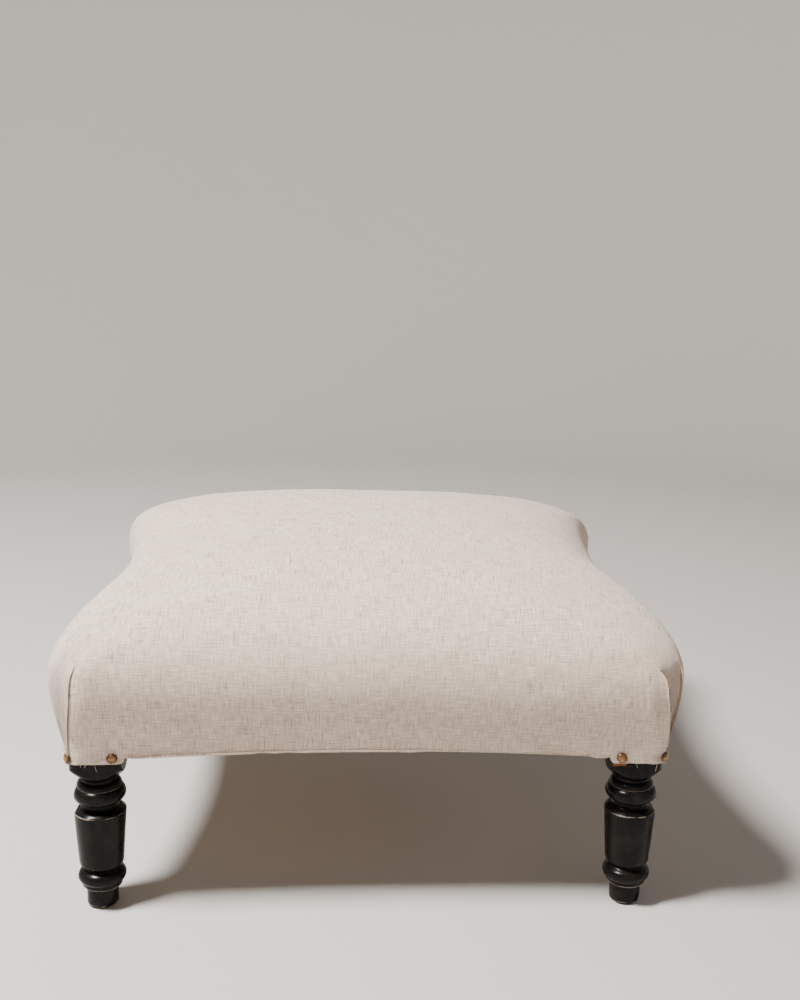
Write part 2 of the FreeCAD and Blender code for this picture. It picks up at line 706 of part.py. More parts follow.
def crown_section(half_x, half_y, corner, share, height):
    """Outline at a share of the full plan, rounder towards the crown."""
    weight = share ** 1.9
    round_corner = share * (corner * weight + 0.9 * min(half_x, half_y) * (1 - weight))
    waists = [eased_waist(named(alias), share) for alias in ("front_waist", "side_waist")]
    return waisted_outline(half_x * share, half_y * share, round_corner, *waists, height)


def crown_profile(share):
    """Height of the padded top as a share of its rise, from 0 at the edge to 1 at the crown."""
    return (1 - share ** CROWN_SPREAD) ** (1 / CROWN_ROOT)


SIDE_SHARES = (0, 0.45)
CLING_TOP = size(HEM_TIP) + named("cling_band")
WIDEST = size(BLOCK_TOP) + named("widest_rise")


def swell(height):
    """Share of the side bulge and of the corner's growth at a height."""
    above = (height - CLING_TOP) / (WIDEST - CLING_TOP)
    return math.sin(math.pi / 2 * max(above, 0) ** 1.2)


def side_section(offset, height):
    """Half sizes and corner radius of the padded sides at a height."""
    bulge = named("side_bulge") * swell(height)
    half_x = (named("leg_spacing_x") + named("block_size")) / 2 + COVER_REACH + bulge - offset
    half_y = (named("leg_spacing_y") + named("block_size")) / 2 + COVER_REACH + bulge - offset
    growth = swell(height) * (named("pad_corner_radius") - named("hem_corner_radius"))
    return half_x, half_y, named("hem_corner_radius") + growth - offset


def cushion(offset, foot, crown_shares=CROWN_SHARES):
    """Solid of the upholstery, a distance inside the outer face of the cover, down to a height."""
    waists = (named("front_waist"), named("side_waist"))
    risen = [CLING_TOP + share * (WIDEST - CLING_TOP) for share in SIDE_SHARES]
    heights = [foot] + [z for z in risen if z > foot] + [WIDEST]
    wires = [waisted_outline(*side_section(offset, z), *waists, z) for z in heights]
    rise = named("crown_rise") - offset
    full_x, full_y, corner = side_section(offset, WIDEST)
    for share in crown_shares:
        wires.append(crown_section(full_x, full_y, corner, share, WIDEST + rise * crown_profile(share)))
    return Part.makeLoft(wires, True, True)


def hem_cut(half, across):
    """Prism from the floor to an arched edge, long enough to pass through two facing sides."""
    ends = size(HEM_END)
    reach = half - named("hem_lap")
    a = Vector(-reach, -across, ends)
    b = Vector(reach, -across, ends)
    arch = Part.Arc(a, Vector(0, -across, ends + named("hem_rise")), b).toShape()
    lines = Part.makePolygon([b, Vector(reach, -across, 0), Vector(-reach, -across, 0), a])
    face = Part.Face(Part.Wire([arch] + lines.Edges))
    return face.extrude(Vector(0, 2 * across, 0))


def linen_cover():
    """The linen, open underneath, with arched lower edges and a tip over each leg block."""
    outer = cushion(0, size(HEM_TIP))
    inner = cushion(named("cover_thickness"), size(BLOCK_FOOT))
    shell = outer.cut(inner)
    front = hem_cut(named("leg_spacing_x") / 2, named("leg_spacing_y"))
    sides = hem_cut(named("leg_spacing_y") / 2, named("leg_spacing_x"))
    sides.rotate(Vector(0, 0, 0), Vector(0, 0, 1), 90)
    return shell.cut([front, sides])


parts.append(feature("linen_cover", linen_cover()))

# Hessian over the springs: a flat top on sloping sides, with a border that lies on the rails


def rectangle(half_x, half_y, height):
    """Closed rectangular wire."""
    corners = [(-1, -1), (1, -1), (1, 1), (-1, 1), (-1, -1)]
    return Part.makePolygon([Vector(a * half_x, b * half_y, height) for a, b in corners])


def spring_tent(grow):
    """Solid under the hessian, its faces moved outwards by a distance."""
    margin = named("spring_end_radius") + named("wire_diameter") / 2 + named("hessian_margin")
    top_x = named("strap_pitch_x") + margin + grow
    top_y = named("strap_pitch_y") + margin + grow
    foot = size(BLOCK_TOP) + named("layer_gap") + grow
    crest = SPRING_CREST + named("wire_diameter") / 2 + named("layer_gap")
    slope = named("hessian_slope")
    lower = rectangle(top_x + slope, top_y + slope, foot)
    return Part.makeLoft([lower, rectangle(top_x, top_y, crest + grow)], True, True)


def border_plate(grow):
    """Flat plate over the rails that the border is cut from, its top face moved up by a distance."""
    half_x = (named("leg_spacing_x") + named("block_size")) / 2 - named("side_waist") - named("hessian_lap_x")
    half_y = (named("leg_spacing_y") + named("block_size")) / 2 - named("front_waist") - named("hessian_lap_y")
    foot = size(BLOCK_TOP) + named("layer_gap")
    corner = Vector(-half_x - grow, -half_y - grow, foot)
    return Part.makeBox(2 * (half_x + grow), 2 * (half_y + grow), named("hessian_thickness") + grow, corner)


def spring_hessian():
    """Hessian stretched over the springs and fixed on the rails."""
    thickness = named("hessian_thickness")
    return border_plate(0).fuse(spring_tent(thickness)).cut(spring_tent(0))


parts.append(feature("spring_hessian", spring_hessian()))


def wood_outline(grow, height):
    """Outline round the outer faces of the blocks and rails, moved outwards by a distance."""
    half_x = (named("leg_spacing_x") + named("block_size")) / 2 + grow
    half_y = (named("leg_spacing_y") + named("block_size")) / 2 + grow
    waists = (named("front_waist"), named("side_waist"))
    return waisted_outline(half_x, half_y, named("block_round") + grow, *waists, height)


def hair_stuffing():
    """Horsehair pad between the hessian and the cover, with its roll over the rails."""
    gap = named("layer_gap")
    form = cushion(named("cover_thickness") + gap, size(HEM_TIP) + named("stuffing_lift"), STUFFING_SHARES)
    low = size(HEM_TIP)
    rise = Vector(0, 0, size(BLOCK_TOP) + gap - low)
    wood = Part.Face(wood_outline(named("wood_gap"), low)).extrude(rise)
    grow = named("hessian_thickness") + gap
    return form.cut([wood, border_plate(gap), spring_tent(grow)])


parts.append(feature("hair_stuffing", hair_stuffing()))

# Brass dome nails: two in the faces of each leg block and one on its outer arris


NAIL_FACETS = 10
NAIL_RINGS = ((1, 0), (0.8, 0.52), (0.45, 0.87), (0.12, 1))


def dome_nail():
    """One nail with the rim of its head on z = 0 and its shank down."""
    rings = []
    for reach, rise in NAIL_RINGS:
        radius = named("nail_radius") * reach
        height = named("nail_dome") * rise
        turns = [2 * math.pi * k / NAIL_FACETS for k in range(NAIL_FACETS + 1)]
        rings.append(
            Part.makePolygon([Vector(radius * math.cos(a), radius * math.sin(a), height) for a in turns])
        )
    head = Part.makeLoft(rings, True, True)
    half = named("nail_shank") / 2
    length = named("nail_depth") + COVER_REACH + named("nail_gap")
    shank = Part.makeBox(2 * half, 2 * half, length + named("nail_dome") / 2, Vector(-half, -half, -length))
    return head.fuse(shank)


def brass_nails():
    """Three nails at each corner."""
    nail = dome_nail()
    upright = Rotation(Vector(1, 0, 0), 90)
    nails = []
    for x, y, turn in CORNERS.values():
        sides = (FRONT_SIDE, RIGHT_SIDE) if turn % 180 == 0 else (RIGHT_SIDE, FRONT_SIDE)
        corner = Placement(Vector(size(x), size(y), size(NAIL_HEIGHT)), Rotation(Vector(0, 0, 1), turn))
        for along, out, lean in nail_spots(*sides):
            facing = Rotation(Vector(0, 0, 1), size(lean)).multiply(upright)
            set_nail = nail.copy()
            set_nail.Placement = corner.multiply(Placement(Vector(size(along), size(out), 0), facing))
            nails.append(set_nail)
    return Part.makeCompound(nails)


parts.append(feature("brass_nails", brass_nails()))

# Check every object, then write one file for each sub-part

doc.recompute()
for item in doc.Objects:
    if {"Invalid", "Error"} & set(item.State):
        raise RuntimeError(f"{item.Name} failed: {item.State}")
for item in parts:
    if item.Shape.isNull() or not item.Shape.isValid():
        raise RuntimeError(f"{item.Label} has no valid shape")
os.makedirs("parts", exist_ok=True)
for item in parts:
    item.Shape.exportStep(os.path.join("parts", item.Label + ".step"))
print(f"{len(parts)} sub-parts")
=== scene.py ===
"""Footstool with a domed linen seat on turned, ebonised legs.

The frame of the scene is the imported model's: metres, Z up, X to the right of the front, Y to the
back. Sizes of pieces are named in millimetres, as an upholsterer and a turner measure them, and
become metres where a mesh is made.
"""
from __future__ import annotations

import logging
import math
from dataclasses import dataclass
from enum import Enum
from typing import Optional, Sequence, Union

import bpy
import numpy as np
from mathutils import Matrix, Vector, noise


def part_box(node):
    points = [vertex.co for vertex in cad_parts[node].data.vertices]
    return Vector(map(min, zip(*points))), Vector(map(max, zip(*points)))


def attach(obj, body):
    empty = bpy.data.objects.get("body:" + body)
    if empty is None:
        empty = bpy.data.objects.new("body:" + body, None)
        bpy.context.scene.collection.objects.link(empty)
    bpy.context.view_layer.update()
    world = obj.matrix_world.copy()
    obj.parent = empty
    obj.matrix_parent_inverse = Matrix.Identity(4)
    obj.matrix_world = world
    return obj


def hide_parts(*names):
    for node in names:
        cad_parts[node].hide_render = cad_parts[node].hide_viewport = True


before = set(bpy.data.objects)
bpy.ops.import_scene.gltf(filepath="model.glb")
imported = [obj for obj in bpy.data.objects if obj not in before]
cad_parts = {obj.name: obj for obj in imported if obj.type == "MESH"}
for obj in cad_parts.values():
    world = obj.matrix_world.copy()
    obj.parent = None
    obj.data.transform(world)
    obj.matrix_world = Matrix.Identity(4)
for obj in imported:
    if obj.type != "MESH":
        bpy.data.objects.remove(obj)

LOG = logging.getLogger("footstool")
MM = 0.001
BODY = "root"
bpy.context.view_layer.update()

Colour = tuple[float, float, float]
Number = Union[float, "Signal"]


class Corner(Enum):
    """Corners of the stool, as the signs of X and Y, in their order round it from the front right."""

    FRONT_RIGHT = (1, -1)
    REAR_RIGHT = (1, 1)
    REAR_LEFT = (-1, 1)
    FRONT_LEFT = (-1, -1)

    @property
    def label(self) -> str:
        """The corner's name in words joined for a piece's name."""
        return self.name.lower()


class Run(Enum):
    """Ways in which straps of webbing run, by the word in their names, with the axis along them."""

    CROSS = 1
    LONG = 0

    def node(self, number: int) -> str:
        """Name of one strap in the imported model."""
        return f"webbing_{self.name.lower()}_{number}"


# Shader sockets and nodes


class Signal:
    """A shader socket that takes part in arithmetic."""

    def __init__(self, tree: Tree, socket: Optional[bpy.types.NodeSocket]) -> None:
        """Keep a socket and the tree that it belongs to."""
        self.tree = tree
        self.socket = socket

    def maths(self, operation: str, *values: Number) -> Signal:
        """Value of a Math node.

        Args:
            operation: the node's operation.
            values: its inputs in order.

        Returns:
            The node's output.
        """
        return self.tree.add("ShaderNodeMath", {"operation": operation}, dict(enumerate(values)))

    def __add__(self, other: Number) -> Signal:
        """Sum."""
        return self.maths("ADD", self, other)

    def __radd__(self, other: Number) -> Signal:
        """Sum with a plain number first."""
        return self.maths("ADD", other, self)

    def __sub__(self, other: Number) -> Signal:
        """Difference."""
        return self.maths("SUBTRACT", self, other)

    def __rsub__(self, other: Number) -> Signal:
        """Difference from a plain number."""
        return self.maths("SUBTRACT", other, self)

    def __mul__(self, other: Number) -> Signal:
        """Product."""
        return self.maths("MULTIPLY", self, other)

    def __rmul__(self, other: Number) -> Signal:
        """Product with a plain number first."""
        return self.maths("MULTIPLY", other, self)

    def sine(self) -> Signal:
        """Sine of an angle in radians."""
        return self.maths("SINE", self)

    def step(self, low: float, high: float) -> Signal:
        """Smooth step of the value.

        Args:
            low: where the step is 0.
            high: where it is 1.

        Returns:
            A value from 0 to 1.
        """
        settings = {"interpolation_type": "SMOOTHSTEP"}
        return self.tree.add("ShaderNodeMapRange", settings, {0: self, 1: low, 2: high})


class Tree:
    """Node tree of one material."""

    def __init__(self, tree: bpy.types.NodeTree) -> None:
        """Start from an empty tree."""
        self.tree = tree
        self.tree.nodes.clear()

    def add(self, kind: str, settings: dict, inputs: dict, output: int = 0) -> Signal:
        """Add a node.

        Args:
            kind: the node's type.
            settings: its own settings, set before its sockets.
            inputs: values or signals of its sockets, by name or number.
            output: number of the output to use.

        Returns:
            The chosen output, without a socket where the node has no outputs.
        """
        node = self.tree.nodes.new(kind)
        for name, value in settings.items():
            setattr(node, name, value)
        for key, value in inputs.items():
            socket = node.inputs[key]
            if isinstance(value, Signal):
                self.tree.links.new(value.socket, socket)
            else:
                socket.default_value = value
        return Signal(self, node.outputs[output] if len(node.outputs) else None)

    def place(self) -> Signal:
        """Place of a point in the object's own metres."""
        return self.add("ShaderNodeTexCoord", {}, {}, 3)

    def carried(self, name: str) -> Signal:
        """Value that the mesh carries at each point."""
        return self.add("ShaderNodeAttribute", {"attribute_name": name}, {}, 2)

    def stretched(self, place: Signal, scale: Sequence[float]) -> Signal:
        """Place multiplied by a scale along each axis."""
        return self.add("ShaderNodeVectorMath", {"operation": "MULTIPLY"}, {0: place, 1: tuple(scale)})

    def grain(self, place: Signal, scale: float, detail: float = 2.0, rough: float = 0.5) -> Signal:
        """Noise about 0.5.

        Args:
            place: where it is read.
            scale: how many features go to a metre.
            detail: number of finer layers.
            rough: weight of the finer layers.

        Returns:
            The noise's value.
        """
        inputs = {"Vector": place, "Scale": scale, "Detail": detail, "Roughness": rough}
        return self.add("ShaderNodeTexNoise", {}, inputs)

    def blend(self, factor: Number, first: Colour | Signal, second: Colour | Signal) -> Signal:
        """Colour between two colours."""
        ends = [(*end, 1.0) if isinstance(end, tuple) else end for end in (first, second)]
        return self.add("ShaderNodeMix", {"data_type": "RGBA"}, {0: factor, 6: ends[0], 7: ends[1]}, 2)

    def shaded(self, colour: Signal, tone: Signal) -> Signal:
        """Colour multiplied by a grey tone."""
        grey = self.add("ShaderNodeCombineXYZ", {}, {0: tone, 1: tone, 2: tone})
        return self.add("ShaderNodeVectorMath", {"operation": "MULTIPLY"}, {0: colour, 1: grey})

    def bump(self, height: Signal, depth: float) -> Signal:
        """Normal bent by a height of a depth in metres."""
        return self.add("ShaderNodeBump", {}, {"Height": height, "Distance": depth, "Strength": 1.0})

    def surface(self, sockets: dict[str, Number | Colour]) -> None:
        """Finish the tree with one surface shader."""
        shader = self.add("ShaderNodeBsdfPrincipled", {}, sockets)
        self.add("ShaderNodeOutputMaterial", {}, {"Surface": shader})


# Finishes


@dataclass(frozen=True)
class Finish:
    """A finish and the slot of the record that it belongs to."""

    slot: str

    def material(self) -> bpy.types.Material:
        """Material with this finish."""
        made = bpy.data.materials.new(self.slot + "_finish")
        made.use_nodes = True
        self.paint(Tree(made.node_tree))
        return made

    def paint(self, tree: Tree) -> None:
        """Add the finish's nodes to a tree."""
        raise NotImplementedError


@dataclass(frozen=True)
class PlainWeave(Finish):
    """Plain woven cloth, whose threads run along the two lengths that its meshes carry in metres."""

    dark: Colour
    light: Colour
    pitch: float = 0.9 * MM
    streaks: float = 1.15
    slubs: float = 0.26
    nubs: float = 0.28
    soil: Colour = (0.30, 0.22, 0.16)
    relief: float = 0.75 * MM
    sheen: float = 0.15

    def paint(self, tree: Tree) -> None:
        """Add streaks of uneven yarn both ways, slubs, nubs, soiling and the weave's relief.

        Args:
            tree: the material's nodes.
        """
        weft, warp = tree.carried("weft_run"), tree.carried("warp_run")
        cloth = tree.add("ShaderNodeCombineXYZ", {}, {0: weft, 1: warp, 2: 0.0})
        along_weft = tree.grain(tree.stretched(cloth, (62, 760, 1)), 1.0, 2.0, 0.6)
        along_warp = tree.grain(tree.stretched(cloth, (760, 62, 1)), 1.0, 2.0, 0.6)
        thick_weft = tree.grain(tree.stretched(cloth, (45, 600, 1)), 1.0, 1.0, 0.5).step(0.64, 0.72)
        thick_warp = tree.grain(tree.stretched(cloth, (600, 45, 1)), 1.0, 1.0, 0.5).step(0.65, 0.73)
        mottle = tree.grain(cloth, 14.0, 4.0, 0.6)
        specks = tree.grain(cloth, 430.0, 1.0, 0.4)
        tone = 1.0 + self.streaks * (along_weft + along_warp - 1.0) + 0.05 * (mottle - 0.5)
        tone = tone + self.slubs * (thick_weft - thick_warp)
        tone = tone - self.nubs * specks.step(0.70, 0.76)
        tone = tone + 0.5 * self.nubs * (1.0 - specks.step(0.24, 0.30))
        turn = math.pi / self.pitch
        weave = (weft * turn).sine() * (warp * turn).sine()
        colour = tree.blend(tree.grain(cloth, 30.0, 3.0, 0.6).step(0.3, 0.7), self.dark, self.light)
        soiling = tree.carried("soil") * tree.grain(cloth, 60.0, 4.0, 0.7).step(0.35, 0.65)
        colour = tree.blend(soiling, tree.shaded(colour, tone), self.soil)
        height = weave * 0.35 + along_weft + along_warp + 0.8 * (thick_weft + thick_warp)
        sockets = {"Base Color": colour, "Roughness": 0.9}
        sockets |= {"Sheen Weight": self.sheen, "Sheen Roughness": 0.5}
        sockets["Normal"] = tree.bump(height, self.relief)
        tree.surface(sockets)


@dataclass(frozen=True)
class EbonisedWood(Finish):
    """Black stain and polish, rubbed through to the wood on the edges."""

    black: Colour = (0.004, 0.0035, 0.003)
    faded: Colour = (0.013, 0.010, 0.008)
    rubbed: Colour = (0.19, 0.155, 0.125)
    bare: Colour = (0.22, 0.08, 0.025)
    coat: float = 0.06
    shine: float = 0.09

    def paint(self, tree: Tree) -> None:
        """Add the polish's unevenness, the rubbed edges and the bare wood.

        Args:
            tree: the material's nodes.
        """
        place = tree.place()
        pores = tree.grain(tree.stretched(place, (900, 900, 40)), 1.0, 2.0, 0.6)
        bloom = tree.grain(place, 55.0, 4.0, 0.6)
        worn = (tree.carried("wear") + 0.7 * (tree.grain(place, 160.0, 3.0, 0.65) - 0.5)).step(0.62, 0.80)
        bare = (tree.carried("bare") + 0.6 * (tree.grain(place, 260.0, 3.0, 0.6) - 0.5)).step(0.5, 0.62)
        colour = tree.blend(bloom.step(0.45, 0.75), self.black, self.faded)
        colour = tree.blend(worn, colour, self.rubbed)
        colour = tree.blend(bare, colour, self.bare)
        rough = 0.20 + 0.16 * bloom + 0.35 * worn + 0.3 * bare
        sockets = {"Base Color": colour, "Roughness": rough, "Coat Weight": self.coat}
        sockets |= {"Coat Roughness": 0.12, "Coat IOR": 1.5, "Specular IOR Level": self.shine}
        sockets["Normal"] = tree.bump(pores * 0.5 + bloom * 1.5, 0.05 * MM)
        tree.surface(sockets)


@dataclass(frozen=True)
class PlanedBeech(Finish):
    """Planed beech with its grain along one axis."""

    along: tuple[float, float, float]
    pale: Colour = (0.52, 0.36, 0.21)
    brown: Colour = (0.36, 0.22, 0.115)

    def paint(self, tree: Tree) -> None:
        """Add the grain, the flecks and the dirt of age.

        Args:
            tree: the material's nodes.
        """
        place = tree.place()
        lines = tree.grain(tree.stretched(place, self.along), 1.0, 4.0, 0.6)
        flecks = tree.grain(tree.stretched(place, [4 * s for s in self.along]), 1.0, 1.0, 0.5)
        grime = tree.grain(place, 22.0, 4.0, 0.6)
        colour = tree.blend(lines.step(0.3, 0.72), self.pale, self.brown)
        colour = tree.shaded(colour, 1.05 - 0.25 * flecks.step(0.62, 0.70) - 0.35 * grime.step(0.5, 0.85))
        sockets = {"Base Color": colour, "Roughness": 0.55 + 0.2 * grime}
        sockets["Normal"] = tree.bump(lines + flecks, 0.12 * MM)
        tree.surface(sockets)


@dataclass(frozen=True)
class AgedMetal(Finish):
    """Metal that is bright where it is rubbed and dull elsewhere."""

    bright: Colour
    dull: Colour
    gloss: float
    scale: float = 160.0

    def paint(self, tree: Tree) -> None:
        """Add the tarnish.

        Args:
            tree: the material's nodes.
        """
        place = tree.place()
        tarnish = tree.grain(place, self.scale, 5.0, 0.65)
        mask = (tarnish + 0.5 * tree.carried("tarnish")).step(0.42, 0.80)
        sockets = {"Base Color": tree.blend(mask, self.bright, self.dull), "Metallic": 1.0 - 0.35 * mask}
        sockets["Roughness"] = self.gloss + 0.3 * mask
        sockets["Normal"] = tree.bump(tarnish, 0.06 * MM)
        tree.surface(sockets)


@dataclass(frozen=True)
class CurledHair(Finish):
    """Curled horsehair, teased and stitched down."""

    dark: Colour = (0.020, 0.014, 0.010)
    light: Colour = (0.16, 0.11, 0.075)

    def paint(self, tree: Tree) -> None:
        """Add crossing strands.

        Args:
            tree: the material's nodes.
        """
        place = tree.place()
        bent = tree.grain(place, 60.0, 2.0, 0.5)
        strands = tree.grain(tree.stretched(place, (700, 90, 300)), 1.0, 4.0, 0.7)
        crossing = tree.grain(tree.stretched(place, (90, 700, 300)), 1.0, 4.0, 0.7)
        hair = (strands + crossing + 0.4 * bent - 0.7).step(0.25, 0.75)
        sockets = {"Base Color": tree.blend(hair, self.dark, self.light), "Roughness": 0.6}
        sockets["Normal"] = tree.bump(hair, 0.8 * MM)
        tree.surface(sockets)


@dataclass(frozen=True)
class StudioPaper(Finish):
    """Seamless pale paper under and behind the stool."""

    pale: Colour = (0.52, 0.495, 0.47)

    def paint(self, tree: Tree) -> None:
        """Add a faint unevenness.

        Args:
            tree: the material's nodes.
        """
        cloud = tree.grain(tree.place(), 1.3, 2.0, 0.5)
        darker = tuple(0.97 * value for value in self.pale)
        tree.surface({"Base Color": tree.blend(cloud, self.pale, darker), "Roughness": 0.85})


LINEN = PlainWeave("linen", dark=(0.67, 0.52, 0.42), light=(0.705, 0.562, 0.462))
HESSIAN = PlainWeave(
    "hessian",
    dark=(0.30, 0.20, 0.11),
    light=(0.45, 0.32, 0.19),
    pitch=2.1 * MM,
    streaks=0.5,
    slubs=0.2,
    nubs=0.3,
    relief=0.5 * MM,
    sheen=0.05,
)
JUTE = PlainWeave(
    "jute_webbing",
    dark=(0.34, 0.23, 0.125),
    light=(0.50, 0.37, 0.22),
    pitch=1.7 * MM,
    streaks=0.4,
    slubs=0.15,
    nubs=0.2,
    relief=0.45 * MM,
    sheen=0.05,
)
EBONY = EbonisedWood("ebonised_wood")
BEECH_X = PlanedBeech("frame_beech", along=(9, 160, 160))
BEECH_Y = PlanedBeech("frame_beech", along=(160, 9, 160))
WIRE = AgedMetal("spring_steel", bright=(0.52, 0.30, 0.19), dull=(0.13, 0.08, 0.055), gloss=0.34)
TACK_STEEL = AgedMetal("spring_steel", bright=(0.16, 0.17, 0.19), dull=(0.05, 0.045, 0.045), gloss=0.36)
BRASS = AgedMetal("brass", bright=(0.36, 0.205, 0.09), dull=(0.05, 0.027, 0.013), gloss=0.22)
HAIR = CurledHair("horsehair")
PAPER = StudioPaper("paper")


# Meshes


class Shape:
    """Points, faces and carried values of a piece before they become its mesh. Sizes are in mm."""

    def __init__(self) -> None:
        """Start empty."""
        self.points: list[np.ndarray] = []
        self.faces: list[tuple[int, ...]] = []
        self.values: dict[str, list[np.ndarray]] = {}
        self.count = 0

    def add(self, points: np.ndarray, faces: Sequence[Sequence[int]], **values: np.ndarray | float) -> None:
        """Add a stretch of surface.

        Args:
            points: places, one row each.
            faces: indices into those points.
            values: what each point carries, or one number for all of them.
        """
        start, count = self.count, len(points)
        self.points.append(np.asarray(points, float))
        self.faces += [tuple(start + i for i in face) for face in faces]
        for name, value in values.items():
            self.values.setdefault(name, []).append(np.broadcast_to(np.ravel(value), (count,)))
        self.count += count

    def net(self, rows: np.ndarray, around: bool = False, ends: bool = False, **values: np.ndarray) -> None:
        """Add a net of rows and columns of points.

        Args:
            rows: places by row, column and axis.
            around: True where the last column joins the first.
            ends: True where the first and last rows are closed with a face.
            values: what each point carries, by row and column.
        """
        high, wide = rows.shape[:2]
        faces = []
        for row in range(high - 1):
            for column in range(wide if around else wide - 1):
                near = row * wide + column
                far = row * wide + (column + 1) % wide
                faces.append((near, far, far + wide, near + wide))
        if ends:
            faces.append(tuple(reversed(range(wide))))
            faces.append(tuple(range((high - 1) * wide, high * wide)))
        self.add(rows.reshape(-1, 3), faces, **values)

    def tube(self, line: np.ndarray, radius: float | np.ndarray, sides: int = 8, **values: float) -> None:
        """Add a round tube along a line.

        Args:
            line: points of its middle line.
            radius: radius, or one for each point.
            sides: number of sides.
            values: what its points carry.
        """
        way = np.gradient(line, axis=0)
        way /= np.linalg.norm(way, axis=1)[:, None]
        across = np.cross(way, (0.0, 0.0, 1.0))
        flat = np.linalg.norm(across, axis=1) < 1e-3
        across[flat] = np.cross(way[flat], (0.0, 1.0, 0.0))
        across /= np.linalg.norm(across, axis=1)[:, None]
        over = np.cross(across, way)
        turn = np.linspace(0, 2 * math.pi, sides, endpoint=False)
        reach = np.broadcast_to(np.asarray(radius, float), (len(line),))[:, None, None]
        ring = across[:, None] * np.cos(turn)[:, None] + over[:, None] * np.sin(turn)[:, None]
        self.net(line[:, None] + reach * ring, around=True, ends=True, **values)

    def thing(self, name: str, finish: Finish, crease: float = 40.0) -> bpy.types.Object:
        """Make an object.

        Args:
            name: its name.
            finish: its finish.
            crease: angle in degrees above which an edge is sharp.

        Returns:
            The new object.
        """
        mesh = bpy.data.meshes.new(name)
        mesh.from_pydata((np.concatenate(self.points) * MM).tolist(), [], self.faces)
        for value_name, stretches in self.values.items():
            attribute = mesh.attributes.new(value_name, "FLOAT", "POINT")
            attribute.data.foreach_set("value", np.concatenate(stretches).astype(np.float32))
        mesh.shade_smooth()
        mesh.set_sharp_from_angle(angle=math.radians(crease))
        mesh.materials.append(finish.material())
        made = bpy.data.objects.new(name, mesh)
        bpy.context.scene.collection.objects.link(made)
        return made

    def piece(self, name: str, finish: Finish, crease: float = 40.0) -> bpy.types.Object:
        """Make an object that rides on the stool's body.

        Args:
            name: its name.
            finish: its finish.
            crease: angle in degrees above which an edge is sharp.

        Returns:
            The new object.
        """
        made = self.thing(name, finish, crease)
        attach(made, BODY)
        LOG.info("%s: %d points, %d faces", name, self.count, len(self.faces))
        return made


def eased(low: float, high: float, value: np.ndarray | float) -> np.ndarray:
    """Smooth step from 0 at low to 1 at high; low may be the larger."""
    share = np.clip((np.asarray(value, float) - low) / (high - low), 0, 1)
    return share * share * (3 - 2 * share)


def ripple(points: np.ndarray, length: float, seed: float) -> np.ndarray:
    """Smooth unevenness from -1 to 1.

    Args:
        points: places in mm, with the axes last.
        length: length of a feature in mm.
        seed: moves the pattern.

    Returns:
        One value for each point.
    """
    moved = points.reshape(-1, 3) / length + (seed, 2.3 * seed, 5.1 * seed)
    return np.array([noise.noise(point) for point in moved]).reshape(points.shape[:-1])


def arc_through(
    first: Sequence[float],
    middle: Sequence[float],
    last: Sequence[float],
    count: int,
) -> np.ndarray:
    """Points of an arc in a plane.

    Args:
        first: its first point.
        middle: a point that it passes through.
        last: its last point.
        count: number of points, the ends among them.

    Returns:
        The points, one row each.
    """
    a, b, c = (complex(*point) for point in (first, middle, last))
    w = (c - a) / (b - a)
    centre = a + (b - a) * (w - abs(w) ** 2) / (w - w.conjugate())
    start = a - centre
    turn = np.angle((c - centre) / start)
    half = np.angle((b - centre) / start)
    if half * turn < 0 or abs(half) > abs(turn):
        turn -= math.copysign(2 * math.pi, turn)
    spots = centre + start * np.exp(1j * turn * np.linspace(0, 1, count))
    return np.stack([spots.real, spots.imag], axis=1)


# Frame: places of the legs, rails and blocks


@dataclass(frozen=True)
class Layout:
    """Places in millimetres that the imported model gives."""

    axis_x: float
    axis_y: float
    half_block: float
    block_top: float
    hem_tip: float
    crown: float

    @classmethod
    def read(cls) -> Layout:
        """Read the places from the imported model's boxes."""
        low, high = (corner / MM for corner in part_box("leg_front_right"))
        cover_low, cover_high = (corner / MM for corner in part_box("linen_cover"))
        axis_x, axis_y = (low.x + high.x) / 2, -(low.y + high.y) / 2
        return cls(axis_x, axis_y, (high.x - low.x) / 2, high.z, cover_low.z, cover_high.z)


# Upholstery


